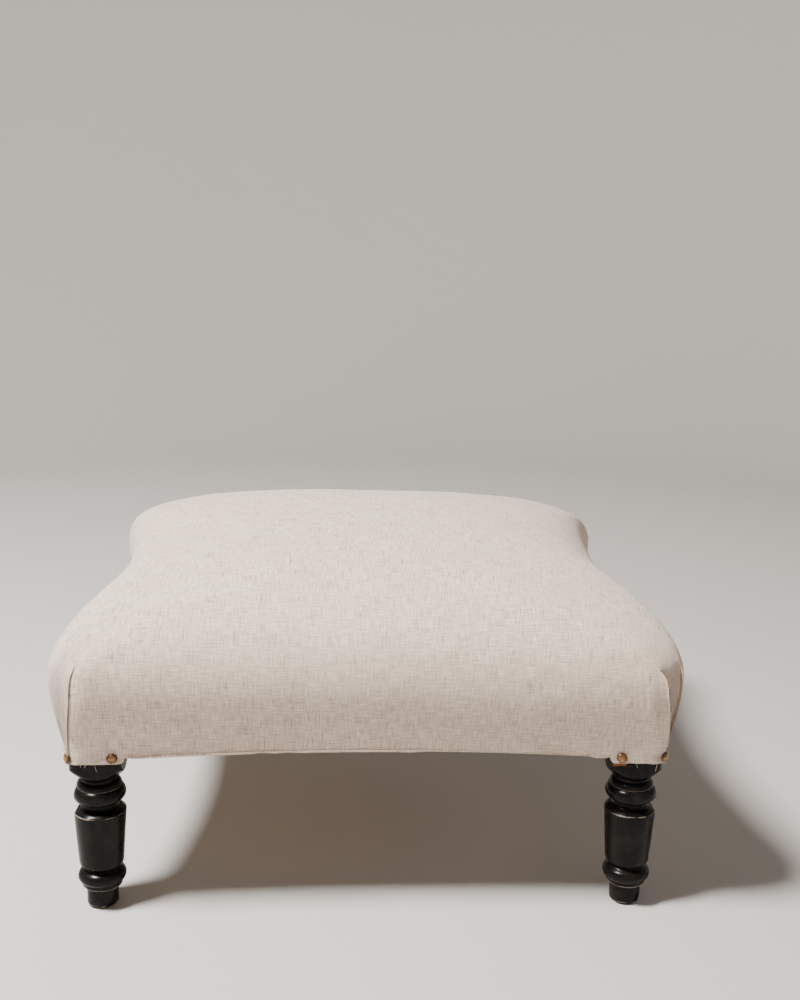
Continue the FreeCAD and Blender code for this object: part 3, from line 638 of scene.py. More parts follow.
@dataclass(frozen=True)
class Outline:
    """Plan of the upholstery at one height: four bowed sides between four round corners, in mm."""

    half_x: float
    half_y: float
    corner: float
    waist_x: float
    waist_y: float

    def side(
        self,
        along: float,
        out: float,
        waist: float,
        shares: np.ndarray,
    ) -> tuple[np.ndarray, np.ndarray, float]:
        """Half of a bowed side.

        Args:
            along: half length of the stool along this side.
            out: half length of the stool across it.
            waist: how far the side is drawn in at its middle.
            shares: places on it, from 0 at its middle to 1 at the round corner.

        Returns:
            Distances along the side, distances out from the middle of the stool, and the angle by
            which the side leans where it meets the corner.
        """
        run = along - self.corner
        reach = (run * run + waist * waist) / (2 * waist)
        radius = reach - self.corner
        spots = shares * (run - self.corner * run / reach)
        bow = np.copysign(np.sqrt(radius * radius - spots * spots), radius)
        return spots, out - waist + radius - bow, math.asin(run / reach)

    def quarter(
        self,
        front: np.ndarray,
        corner: np.ndarray,
        side: np.ndarray,
        lift: np.ndarray,
        slide: np.ndarray,
    ) -> np.ndarray:
        """Front right quarter, from the middle of the front to the middle of the right side.

        Args:
            front: shares of the front's half, from its middle.
            corner: shares of the round corner, from the front to the side.
            side: shares of the side's half, from its middle.
            lift: how far each of the corner's points stands out.
            slide: how far it is moved towards the side.

        Returns:
            Places in plan, one row each.
        """
        x, out_y, lean_x = self.side(self.half_x, self.half_y, self.waist_x, front)
        y, out_x, lean_y = self.side(self.half_y, self.half_x, self.waist_y, side)
        angle = -math.pi / 2 - lean_x + corner * (math.pi / 2 + lean_x + lean_y)
        way = np.stack([np.cos(angle), np.sin(angle)], axis=1)
        along = np.stack([-np.sin(angle), np.cos(angle)], axis=1)
        centre = np.array([self.half_x - self.corner, self.corner - self.half_y])
        bend = centre + way * (self.corner + lift)[:, None] + along * slide[:, None]
        return np.concatenate([np.stack([x, -out_y], axis=1), bend, np.stack([out_x, -y], axis=1)[::-1]])


def around(quarters: Sequence[np.ndarray]) -> np.ndarray:
    """Join four quarters, each drawn as the front right one, into one loop round the stool.

    Args:
        quarters: places or values of each quarter, in the order of the corners.

    Returns:
        One closed loop from the middle of the front.
    """
    stretches = []
    for corner, quarter in zip(Corner, quarters):
        flip_x, flip_y = corner.value[0], -corner.value[1]
        placed = quarter * (flip_x, flip_y) if quarter.ndim == 2 else quarter
        stretches.append((placed if flip_x == flip_y else placed[::-1])[:-1])
    return np.concatenate(stretches)


@dataclass(frozen=True)
class Fold:
    """One folded edge of a pleat: its share of the corner at the top and at the nail."""

    top: float
    foot: float
    curve: float = 1.6
    over: bool = True
    deep: float = 1.0

    def place(self, drop: float) -> float:
        """Share of the corner at a drop from 0 at the top to 1 at the nail."""
        return self.top + (self.foot - self.top) * drop ** self.curve


@dataclass(frozen=True)
class Pleat:
    """Double pleat that takes up the linen at a corner. Shares go from the front round to the side.

    A fold that is over has the linen of the front or the side lying on the linen of the corner. The
    other kind has it tucked under the corner's.
    """

    front: Fold
    side: Fold
    top: float = 269.0
    fade: float = 10.0
    depth: float = 3.4
    overlap: float = 1.8
    ridge: float = 1.2
    reach: float = 3.0
    outer: int = 11
    inner: int = 13

    def columns(
        self,
        height: float,
        corner: float,
        foot: float,
    ) -> tuple[np.ndarray, np.ndarray, np.ndarray]:
        """Places of the corner's columns at a height.

        Args:
            height: the height in mm.
            corner: radius of the round corner there.
            foot: height of the corner's nail, where the folds meet.

        Returns:
            The columns' shares of the corner, how far each stands out, and how far each is moved
            towards the side.
        """
        drop = float(np.clip((self.top - height) / (self.top - foot), 0, 1))
        strength = float(eased(self.top, self.top - self.fade, height))
        strength *= 0.35 + 0.65 * float(eased(foot - 2, foot + 30, height))
        spots = [self.front.place(drop), self.side.place(drop)]
        tuck = np.linspace(0.02, 0.98, self.inner)
        shares = np.linspace(0, 1, self.outer) ** 0.7
        under = np.full(self.inner, -0.45 * self.depth)
        pulled = np.zeros(self.inner)
        lifts, slides, places = [], [], []
        folds = ((self.front, spots[0], 0.0, tuck, 1), (self.side, spots[1], 1.0, 1 - tuck, -1))
        for fold, spot, end, near, turn in folds:
            apart = (1 - shares) * abs(spot - end) * corner * math.pi / 2
            edge = np.exp(-((apart / (self.reach if fold.over else 0.5 * self.reach)) ** 2))
            lifts.append(fold.deep * (self.ridge if fold.over else -0.8 * self.depth) * edge)
            slides.append(turn * self.overlap * edge)
            close = np.exp(-((near / 0.22) ** 2))
            under += close * (fold.deep * (-self.depth if fold.over else self.ridge) - under)
            pulled -= turn * 0.8 * close
            places.append(end + (spot - end) * shares)
        place = np.concatenate([places[0], spots[0] + (spots[1] - spots[0]) * tuck, places[1][::-1]])
        lift = np.concatenate([lifts[0], under, lifts[1][::-1]]) * strength
        slide = np.concatenate([slides[0], pulled, slides[1][::-1]]) * strength
        return place, lift, slide


PLEATS = {
    Corner.FRONT_RIGHT: Pleat(
        front=Fold(0.20, 0.47, 1.5),
        side=Fold(0.58, 0.54, 1.0, deep=0.5),
        top=267,
        depth=4.6,
        overlap=2.2,
        ridge=1.7,
    ),
    Corner.REAR_RIGHT: Pleat(Fold(0.20, 0.45, 1.4), Fold(0.76, 0.54), top=266, ridge=1.0),
    Corner.REAR_LEFT: Pleat(Fold(0.24, 0.46), Fold(0.70, 0.55, 1.3), top=262, depth=3.0),
    Corner.FRONT_LEFT: Pleat(
        front=Fold(0.22, 0.43, 2.2, over=False),
        side=Fold(0.66, 0.51, over=False, deep=0.8),
        top=269,
        depth=2.3,
    ),
}


@dataclass(frozen=True)
class Cushion:
    """Form of the upholstery: sides that cling to the wood, swell outwards and roll into a dome."""

    layout: Layout
    standoff: float = 3.2
    cling_band: float = 13.0
    widest_rise: float = 10.0
    side_bulge: float = 15.0
    hem_corner: float = 15.0
    wide_corner: float = 42.0
    front_waist: float = 9.0
    side_waist: float = 30.0
    crown_bulge: float = 12.0
    crown_spread: float = 2.5
    crown_root: float = 2.3
    corner_roundness: float = 0.9
    least_bow: float = 0.05

    @property
    def cling_top(self) -> float:
        """Height up to which the sides lie on the wood."""
        return self.layout.hem_tip + self.cling_band

    @property
    def widest(self) -> float:
        """Height at which the sides stand out most."""
        return self.layout.block_top + self.widest_rise

    def section(self, height: float, inset: float = 0.0) -> Outline:
        """Outline of the sides.

        Args:
            height: the height in mm.
            inset: distance inside the linen's outer face.

        Returns:
            The outline.
        """
        above = np.clip((height - self.cling_top) / (self.widest - self.cling_top), 0, 1)
        swell = math.sin(math.pi / 2 * float(above) ** 1.2)
        out = self.layout.half_block + self.standoff + self.side_bulge * swell - inset
        corner = self.hem_corner + swell * (self.wide_corner - self.hem_corner) - inset
        half_x, half_y = self.layout.axis_x + out, self.layout.axis_y + out
        return Outline(half_x, half_y, corner, self.front_waist, self.side_waist)

    def crown_section(self, angle: float, inset: float = 0.0) -> tuple[Outline, float]:
        """Outline and height of the dome.

        Args:
            angle: from 0 at its edge to half of pi at its middle.
            inset: distance inside the linen's outer face.

        Returns:
            The outline and its height.
        """
        full = self.section(self.widest, inset)
        share = max(math.cos(angle), 0.0) ** (2 / self.crown_spread)
        rise = self.layout.crown - self.widest - inset
        height = self.widest + rise * math.sin(angle) ** (2 / self.crown_root)
        weight = share ** 1.9
        half_x, half_y = full.half_x * share, full.half_y * share
        round_corner = self.corner_roundness * min(full.half_x, full.half_y)
        corner = share * (full.corner * weight + round_corner * (1 - weight))
        waists = (self.front_waist, self.side_waist)
        bows = [share * (waist * weight - self.crown_bulge * (1 - weight)) for waist in waists]
        least = self.least_bow * share
        bows = [bow if abs(bow) > least else math.copysign(least, bow) for bow in bows]
        return Outline(half_x, half_y, corner, *bows), height


@dataclass(frozen=True)
class LinenCover:
    """Linen drawn over the stuffing, pleated at the corners, with a raw lower edge, and its nails.

    The bulges are lengths of the linen's unevenness, each with its height. A nail's rim has the rows
    below its dome, as shares of the nail's radius and of the dome's height.
    """

    cushion: Cushion
    thickness: float = 1.2
    hem_step: float = 6.5
    hem_rise: float = 5.5
    tip_half: float = 27.0
    tip_round: float = 6.0
    hem_band: float = 18.0
    nail_rise: float = 6.0
    nail_offset: float = 18.0
    nail_radius: float = 5.2
    nail_dome: float = 3.2
    nail_sides: int = 28
    nail_rim: tuple[tuple[float, float], ...] = (
        (0.2, -0.9),
        (0.2, -0.02),
        (0.95, -0.02),
        (1.0, 0.02),
        (1.0, 0.10),
    )
    front_columns: int = 40
    side_columns: int = 34
    band_rows: int = 6
    side_rows: int = 17
    crown_rows: int = 44
    bulges: tuple[tuple[float, float], ...] = ((105.0, 1.5), (42.0, 0.6), (17.0, 0.15))
    hem_pucker: float = 0.3
    dimple_depth: float = 1.0
    dimple_reach: float = 8.5
    pucker_depth: float = 0.35
    pucker_ring: float = 13.0
    pucker_width: float = 6.0
    threads_out: int = 9
    thread_radius: float = 0.11
    flat: tuple[float, float] = (0.84, 0.80)

    @property
    def nail_height(self) -> float:
        """Height of the nails above the floor."""
        return self.cushion.layout.hem_tip + self.nail_rise

    def hem(self, along: np.ndarray, axis: float) -> np.ndarray:
        """Height of the lower edge.

        Args:
            along: distances from the middle of the side.
            axis: distance of the leg's axis from there.

        Returns:
            The heights.
        """
        tip = self.cushion.layout.hem_tip
        reach = axis - self.tip_half
        arch = tip + self.hem_step + self.hem_rise * (1 - (along / reach) ** 2)
        past = np.clip((along - reach + 0.5 * self.tip_round) / self.tip_round, 0, 1)
        step = tip + self.hem_step * (1 - np.sqrt(1 - (1 - past) ** 2))
        return np.where(past > 0, step, np.maximum(arch, tip + self.hem_step))

    @staticmethod
    def shares(count: int, at: float) -> np.ndarray:
        """Even shares of a side, with more of them where the tip over the leg begins."""
        return np.sort(np.concatenate([np.linspace(0, 1, count), at + 0.02 * np.linspace(-1, 1, 12)]))

    def rows(self) -> tuple[np.ndarray, np.ndarray]:
        """Rows of points from the lower edge to the crown.

        Returns:
            Places by row and column, and for each column how far it belongs to the front or back
            rather than to a side, from 1 to 0.
        """
        cushion, layout = self.cushion, self.cushion.layout
        foot = cushion.section(layout.hem_tip)
        ends = [half - foot.corner for half in (foot.half_x, foot.half_y)]
        tips = [(axis - self.tip_half) / end for axis, end in zip((layout.axis_x, layout.axis_y), ends)]
        front, side = self.shares(self.front_columns, tips[0]), self.shares(self.side_columns, tips[1])
        band_top = layout.hem_tip + self.hem_band
        levels: list[tuple[Outline, float, float]] = []
        for share in np.linspace(0, 1, self.band_rows):
            level = layout.hem_tip + share * self.hem_band
            levels.append((cushion.section(level), level, share))
        for share in np.linspace(0, 1, self.side_rows)[1:]:
            level = band_top + share * (cushion.widest - band_top)
            levels.append((cushion.section(level), level, 1.0))
        for angle in np.linspace(0, math.pi / 2, self.crown_rows)[1:-1]:
            levels.append((*cushion.crown_section(float(angle)), 1.0))
        rows = []
        for outline, level, share in levels:
            quarters, heights = [], []
            for corner in Corner:
                place, lift, slide = PLEATS[corner].columns(level, outline.corner, self.nail_height)
                plan = outline.quarter(front, place, side, lift, slide)
                quarters.append(plan)
                flat_front, flat_side = plan[: len(front), 0], -plan[-len(side):, 1]
                hems = [self.hem(flat_front, layout.axis_x), np.full(len(place), layout.hem_tip)]
                hems.append(self.hem(flat_side, layout.axis_y))
                lower = np.concatenate(hems)
                heights.append(lower + share * (level - lower) if share < 1 else np.full(len(plan), level))
            rows.append(np.column_stack([around(quarters), around(heights)]))
        fold = PLEATS[Corner.FRONT_LEFT]
        turning = eased(1, 0, np.linspace(0, 1, fold.inner))
        in_front, beside = np.ones(len(front) + fold.outer), np.zeros(fold.outer + len(side))
        facing = np.concatenate([in_front, turning, beside])
        return np.array(rows), around([facing] * 4)

    def nail_places(self) -> list[tuple[Corner, str, np.ndarray, np.ndarray]]:
        """Places of the nails.

        Returns:
            For each nail its corner, a letter, the middle of its rim and the way that it faces.
        """
        cushion, layout = self.cushion, self.cushion.layout
        outline = cushion.section(self.nail_height)
        found = []
        for corner in Corner:
            sign = np.array([*corner.value, 1.0])
            spots = []
            for letter, swap in (("a", False), ("b", True)):
                halves = (outline.half_y, outline.half_x) if swap else (outline.half_x, outline.half_y)
                waist = outline.waist_y if swap else outline.waist_x
                axis = layout.axis_y if swap else layout.axis_x
                run = halves[0] - outline.corner
                radius = (run * run + waist * waist) / (2 * waist) - outline.corner
                along = axis - self.nail_offset
                lean = math.asin(along / radius)
                out = halves[1] - waist + radius * (1 - math.cos(lean))
                spot, way = (along, out), (-math.sin(lean), math.cos(lean))
                spots.append((letter, spot[::-1] if swap else spot, way[::-1] if swap else way))
            slant = math.sqrt(0.5)
            reach = [half - outline.corner * (1 - slant) for half in (outline.half_x, outline.half_y)]
            spots.append(("c", tuple(reach), (slant, slant)))
            for letter, spot, way in spots:
                middle = np.array([*spot, self.nail_height]) * sign
                found.append((corner, letter, middle, np.array([*way, 0.0]) * sign))
        return found

    def shape(self) -> Shape:
        """Shape of the linen, with its unevenness, nail dimples and the lengths of its threads."""
        rows, facing = self.rows()
        across = np.roll(rows, -1, axis=1) - np.roll(rows, 1, axis=1)
        out = np.cross(across, np.gradient(rows, axis=0))
        out /= np.maximum(np.linalg.norm(out, axis=2), 1e-9)[:, :, None]
        height = rows[:, :, 2]
        loose = 0.25 + 0.75 * eased(self.cushion.cling_top, self.cushion.cling_top + 40, height)
        bulges = enumerate(self.bulges, start=1)
        push = loose * sum(high * ripple(rows, length, seed) for seed, (length, high) in bulges)
        push += self.hem_pucker * ripple(rows, 9, 4) * eased(184, 172, height)
        for _, _, middle, _ in self.nail_places():
            apart = np.linalg.norm(rows - middle, axis=2)
            push -= self.dimple_depth * np.exp(-((apart / self.dimple_reach) ** 2))
            push += self.pucker_depth * np.exp(-(((apart - self.pucker_ring) / self.pucker_width) ** 2))
        push[0] *= 0.3
        rows = rows + out * push[:, :, None]
        edge = rows[0] * (1, 1, 0)
        rows[0, :, 2] += 0.45 * ripple(edge, 1.8, 5) + 0.3 * ripple(edge, 7, 6)
        down = rows[::-1]
        first = np.abs(down[:1, :, :2])
        steps = np.abs(np.diff(down, axis=0))
        runs = np.hypot(steps[:, :, :2], steps[:, :, 2:])
        fallen = np.concatenate([first, first + np.cumsum(runs, axis=0)])[::-1] * np.sign(rows[:, :, :2])
        weft = (facing * rows[:, :, 0] + (1 - facing) * fallen[:, :, 0]) * MM
        warp = (facing * fallen[:, :, 1] + (1 - facing) * rows[:, :, 1]) * MM
        soil = 0.45 * eased(178, 166, height) + 0.1 * eased(240, 180, height)
        made = Shape()
        made.net(rows, around=True, weft_run=weft, warp_run=warp, soil=soil)
        wide = rows.shape[1]
        top = rows[-1].mean(axis=0) + (0, 0, 0.1)
        last = made.count - wide
        fan = [(last + i, last + (i + 1) % wide, made.count) for i in range(wide)]
        made.faces += fan
        made.add(top[None], [], weft_run=top[0] * MM, warp_run=top[1] * MM, soil=0.0)
        return made

    def cover(self) -> bpy.types.Object:
        """Make the linen cover."""
        made = self.shape().piece("linen_cover_drawn", LINEN, crease=60)
        thick = made.modifiers.new("cloth", "SOLIDIFY")
        thick.thickness = self.thickness * MM
        thick.offset = -1.0
        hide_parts("linen_cover")
        return made

    def nails(self) -> list[bpy.types.Object]:
        """Make the twelve brass nails, each with its dome and the top of its shank."""
        made = []
        turn = np.linspace(0, 2 * math.pi, self.nail_sides, endpoint=False)
        for number, (corner, letter, middle, way) in enumerate(self.nail_places()):
            side = np.cross(way, (0, 0, 1.0))
            tip = way + 0.05 * side * math.sin(3.1 * number) + (0, 0, 0.05 * math.cos(2.3 * number))
            tip /= np.linalg.norm(tip)
            side = np.cross(tip, (0, 0, 1.0))
            side /= np.linalg.norm(side)
            over = np.cross(side, tip)
            rim = self.nail_radius * (1 + 0.03 * np.sin(2 * turn + number))
            ring = side * np.cos(turn)[:, None] + over * np.sin(turn)[:, None]
            rows, tarnish = [], []
            for reach, rise in self.nail_rim:
                rows.append(middle + ring * (rim * reach)[:, None] + tip * rise * self.nail_dome)
                tarnish.append(0.9)
            for angle in np.linspace(0.16, math.pi / 2 - 0.06, 9):
                lifted = middle + tip * self.nail_dome * math.sin(angle)
                rows.append(lifted + ring * (rim * math.cos(angle))[:, None])
                tarnish.append(0.7 * (1 - math.sin(angle)))
            shape = Shape()
            levels = np.array(tarnish)[:, None] * np.ones(len(turn))
            shape.net(np.array(rows), around=True, ends=True, tarnish=levels)
            nail = shape.piece(f"nail_{corner.label}_{letter}", BRASS, crease=50)
            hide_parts("brass_nails")
            made.append(nail)
        return made

    def threads(self) -> bpy.types.Object:
        """Make the frayed threads that hang from the raw edge over the legs."""
        layout = self.cushion.layout
        outline = self.cushion.section(layout.hem_tip)
        shape = Shape()
        corners = (Corner.FRONT_LEFT, Corner.FRONT_RIGHT, Corner.REAR_LEFT, Corner.REAR_RIGHT)
        for number in range(self.threads_out):
            corner = corners[number % len(corners)]
            along = layout.axis_x - 22 + 40 * abs(math.sin(12.9 * number + 1))
            drop = 2.0 + 6.0 * abs(math.sin(7.7 * number)) ** 3
            share = np.linspace(0, 1, 7)
            start = np.array([along, outline.half_y - self.thickness * 0.6, layout.hem_tip + 2.0])
            drift = 1.6 * math.sin(5.3 * number)
            out = 0.3 + 0.5 * np.sin(3 * share)
            line = start + np.column_stack([drift * share ** 2, out, -(drop + 2) * share])
            line = line * (*corner.value, 1)
            run = line[:, 0] * MM
            shape.tube(line, self.thread_radius, sides=4, weft_run=float(run[0]), warp_run=0.0, soil=0.2)
        return shape.piece("linen_threads", LINEN)


@dataclass(frozen=True)
class Stuffing:
    """Horsehair pad on the hessian, with a roll that hangs over the rails.

    Its corners are pressed in under the linen's folds, from nothing at the first height of the
    pressed band to all at the second.
    """

    cushion: Cushion
    inset: float = 2.2
    pressed: float = 6.6
    pressed_band: tuple[float, float] = (296.0, 274.0)
    tufts: float = 0.8
    foot_lift: float = 33.0
    wood_gap: float = 1.2
    wood_corner: float = 13.0
    hollow_foot: tuple[float, float] = (233.0, 221.0)
    hollow_top: tuple[float, float] = (175.0, 163.0)
    hollow_corner: float = 12.0
    hollow_gap: float = 1.0
    rail_gap: float = 3.0
    columns: int = 26

    def pad(self) -> bpy.types.Object:
        """Make the pad as one closed form: dome, roll, and a hollow that fits the hessian."""
        cushion, layout = self.cushion, self.cushion.layout
        shares = np.linspace(0, 1, self.columns)
        bend, still = np.linspace(0, 1, 14), np.zeros(14)
        foot = layout.hem_tip + self.foot_lift
        corners = {"hem_corner": self.wood_corner, "wide_corner": self.wood_corner}
        wood = Cushion(layout, standoff=self.wood_gap, side_bulge=0.0, **corners)
        wood_top = layout.block_top + self.rail_gap
        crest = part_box("spring_hessian")[1].z / MM + self.hollow_gap
        slope = Outline(*self.hollow_foot, self.hollow_corner, 0.2, 0.2)
        flat_top = Outline(*self.hollow_top, self.hollow_corner, 0.2, 0.2)
        levels = [(Outline(4.0, 4.0, 1.8, 0.01, 0.01), crest), (flat_top, crest), (slope, wood_top)]
        levels += [(wood.section(foot), wood_top), (wood.section(foot), foot)]
        levels.append((cushion.section(foot, self.inset), foot))
        levels += [(cushion.section(z, self.inset), z) for z in np.linspace(foot, cushion.widest, 10)[1:]]
        angles = np.linspace(0, math.pi / 2, 22)[1:-1]
        levels += [cushion.crown_section(float(angle), self.inset) for angle in angles]
        rows = []
        for number, (outline, level) in enumerate(levels):
            press = still - self.pressed * float(eased(*self.pressed_band, level)) * (number > 4)
            plan = around([outline.quarter(shares, bend, shares, press, still)] * 4)
            rows.append(np.column_stack([plan, np.full(len(plan), level)]))
        rows = np.array(rows)
        push = self.tufts * ripple(rows, 30, 8) - self.tufts
        ways = rows * (1, 1, 0)
        ways /= np.maximum(np.linalg.norm(ways, axis=2), 1)[:, :, None]
        rows = rows + ways * push[:, :, None]
        shape = Shape()
        shape.net(rows, around=True, ends=True)
        made = shape.piece("horsehair_pad", HAIR)
        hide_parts("hair_stuffing")
        return made


@dataclass(frozen=True)
class SpringHessian:
    """Hessian stretched over the springs and down to the rails.

    It sags between the springs, from nothing at the first distance of the sag band from a spring's
    middle to all at the second.
    """

    thickness: float = 1.2
    rows: int = 90
    columns: int = 98
    slope: float = 58.0
    spring_reach: float = 43.9
    sag: float = 1.6
    sag_band: tuple[float, float] = (44.0, 66.0)
    shown_thickness: float = 0.9

    def cloth(self, springs: Sequence[np.ndarray]) -> bpy.types.Object:
        """Make the cloth.

        Args:
            springs: middles of the springs in plan, in mm.

        Returns:
            The cloth.
        """
        low, high = (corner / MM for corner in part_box("spring_hessian"))
        x = np.linspace(low.x, high.x, self.columns)
        y = np.linspace(low.y, high.y, self.rows)
        grid_x, grid_y = np.meshgrid(x, y)
        reach_x = max(spot[0] for spot in springs) + self.spring_reach
        reach_y = max(spot[1] for spot in springs) + self.spring_reach
        inside = np.minimum(reach_x + self.slope - np.abs(grid_x), reach_y + self.slope - np.abs(grid_y))
        climb = np.clip(inside / self.slope, 0, 1)
        level = low.z + self.thickness + climb * (high.z - low.z - self.thickness)
        apart = np.min([np.hypot(grid_x - spot[0], grid_y - spot[1]) for spot in springs], axis=0)
        level -= self.sag * eased(*self.sag_band, apart) * eased(0.98, 1.0, climb)
        places = np.dstack([grid_x, grid_y, level])
        places[:, :, 2] -= 0.2 + 0.2 * ripple(places, 24, 11)
        shape = Shape()
        shape.net(places, weft_run=grid_x * MM, warp_run=grid_y * MM, soil=0.0)
        made = shape.piece("hessian_stretched", HESSIAN)
        thick = made.modifiers.new("cloth", "SOLIDIFY")
        thick.thickness = self.shown_thickness * MM
        thick.offset = -1.0
        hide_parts("spring_hessian")
        return made


@dataclass(frozen=True)
class SeatSprings:
    """Waisted coil springs on the crossings of the webbing."""

    wire: float = 3.2
    end_radius: float = 40.0
    waist_radius: float = 27.0
    turns: float = 4.5
    end_pitch: float = 0.3
    start: float = 60.0
    per_turn: int = 30
    spots: tuple[tuple[int, int], ...] = ((1, 1), (3, 1), (2, 2), (1, 3), (3, 3))

    def middles(self) -> list[np.ndarray]:
        """Middles of the springs in plan, from the straps that cross under them."""
        found = []
        for cross, long in self.spots:
            low_x, high_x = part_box(Run.CROSS.node(cross))
            low_y, high_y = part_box(Run.LONG.node(long))
            found.append(np.array([low_x.x + high_x.x, low_y.y + high_y.y]) / 2 / MM)
        return found

    def springs(self) -> list[bpy.types.Object]:
        """Make the springs, each of one round wire."""
        made = []
        share = np.linspace(0, 1, round(self.turns * self.per_turn) + 1)
        angle = 2 * math.pi * self.turns * share + math.radians(self.start)
        radius = self.waist_radius + (self.end_radius - self.waist_radius) * (2 * share - 1) ** 2
        rise = share - (1 - self.end_pitch) * np.sin(2 * math.pi * share) / (2 * math.pi)
        for number, middle in enumerate(self.middles(), start=1):
            node = f"seat_spring_{number}"
            low, high = (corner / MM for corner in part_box(node))
            foot = low.z + self.wire / 2
            level = foot + rise * (high.z - low.z - self.wire)
            plan = middle + radius[:, None] * np.column_stack([np.cos(angle), np.sin(angle)])
            line = np.column_stack([plan, level])
            shape = Shape()
            shape.tube(line, self.wire / 2, sides=10)
            spring = shape.piece(node + "_wire", WIRE)
            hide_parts(node)
            made.append(spring)
        return made


@dataclass(frozen=True)
class Webbing:
    """Jute straps under the rails, each with its ends folded back and tacked."""

    width: float = 50.0
    thickness: float = 1.5
    fold: float = 24.0
    fold_gap: float = 0.3
    stations: int = 150
    tack_radius: float = 2.6
    tack_insets: tuple[float, float] = (8.0, 15.0)
    tacks: int = 5
    across: int = 13

    def mid_line(self, run: Run, number: int) -> tuple[np.ndarray, float]:
        """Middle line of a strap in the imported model.

        Args:
            run: the way in which the strap runs.
            number: the strap's number.

        Returns:
            Distances along it with their heights, and the place of the strap across them.
        """
        node = run.node(number)
        places = np.array([vertex.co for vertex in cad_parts[node].data.vertices]) / MM
        low, high = (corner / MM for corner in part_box(node))
        stations = np.unique(np.round(places[:, run.value], 2))
        heights = []
        for station in stations:
            level = places[np.abs(places[:, run.value] - station) < 0.02, 2]
            heights.append((level.min() + level.max()) / 2)
        beside = 1 - run.value
        return np.column_stack([stations, heights]), (low[beside] + high[beside]) / 2

    def strap(self, run: Run, number: int) -> tuple[bpy.types.Object, list[np.ndarray]]:
        """Make a strap.

        Args:
            run: the way in which it runs.
            number: its number.

        Returns:
            The strap, and the places of its tacks.
        """
        line, beside = self.mid_line(run, number)
        inner = np.linspace(line[0, 0], line[-1, 0], self.stations)
        level = np.interp(inner, line[:, 0], line[:, 1])
        smooth = np.convolve(np.pad(level, 2, mode="edge"), np.ones(5) / 5, mode="valid")
        drop = self.thickness + self.fold_gap
        ends = []
        for end, inward in ((0, 1), (-1, -1)):
            start, height = inner[end], smooth[end]
            back = [(start + inward * self.fold, height - drop), (start + inward * 2, height - drop)]
            turn = [(start - inward * 0.3, height - share * drop) for share in (0.8, 0.2)]
            ends.append(np.array(back + turn))
        path = np.concatenate([ends[0], np.column_stack([inner, smooth])[1:-1], ends[1][::-1]])
        share = np.linspace(-1, 1, self.across)
        number_of = number + 3 * run.value
        sway = 0.5 * np.sin(path[:, 0] / 61 + 2.1 * number_of)[:, None]
        uneven = 0.35 * np.sin(path[:, 0] / 23 + number_of)[:, None]
        edge = sway + share * (self.width / 2 + uneven * np.abs(share))
        bow = 0.35 * (share ** 2)[None, :] * np.sin(path[:, 0] / 47 + number_of)[:, None]
        places = np.empty((*edge.shape, 3))
        places[:, :, run.value] = path[:, :1]
        places[:, :, 1 - run.value] = beside + edge
        places[:, :, 2] = path[:, 1:] + 0.2 * bow
        length = np.concatenate([[0], np.cumsum(np.hypot(*np.diff(path, axis=0).T))])
        shape = Shape()
        wide = np.broadcast_to(edge, edge.shape) * MM
        long = np.broadcast_to(length[:, None], edge.shape) * MM
        shape.net(places, weft_run=wide, warp_run=long, soil=0.0)
        made = shape.piece(run.node(number) + "_strap", JUTE, crease=60)
        thick = made.modifiers.new("cloth", "SOLIDIFY")
        thick.thickness = self.thickness * MM
        thick.offset = 0.0
        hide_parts(run.node(number))
        tacks = []
        for end, inward in ((0, 1), (-1, -1)):
            for k in range(self.tacks):
                spot = np.empty(3)
                spot[run.value] = inner[end] + inward * self.tack_insets[k % 2]
                spot[1 - run.value] = beside + (k - (self.tacks - 1) / 2) * self.width / (self.tacks + 0.4)
                spot[2] = smooth[end] - drop - self.thickness / 2
                tacks.append(spot)
        return made, tacks

    def straps(self) -> list[bpy.types.Object]:
        """Make the six straps and their tacks."""
        made, spots = [], []
        for run in Run:
            for number in (1, 2, 3):
                strap, tacks = self.strap(run, number)
                made.append(strap)
                spots += tacks
        turn = np.linspace(0, 2 * math.pi, 12, endpoint=False)
        ring = np.column_stack([np.cos(turn), np.sin(turn), np.zeros(len(turn))])
        head = ((1, 0), (1, 0.25), (0.7, 0.6), (0.25, 0.75))
        shape = Shape()
        for spot in spots:
            rows = [spot + ring * self.tack_radius * reach - (0, 0, drop) for reach, drop in head]
            shape.net(np.array(rows)[::-1], around=True, ends=True)
        made.append(shape.piece("webbing_tacks", TACK_STEEL, crease=50))
        return made


# Legs


@dataclass(frozen=True)
class Turn:
    """A place on the leg's profile: radius and height in mm, and what an arc to it passes through."""

    radius: float
    height: float
    through: Optional[tuple[float, float]] = None


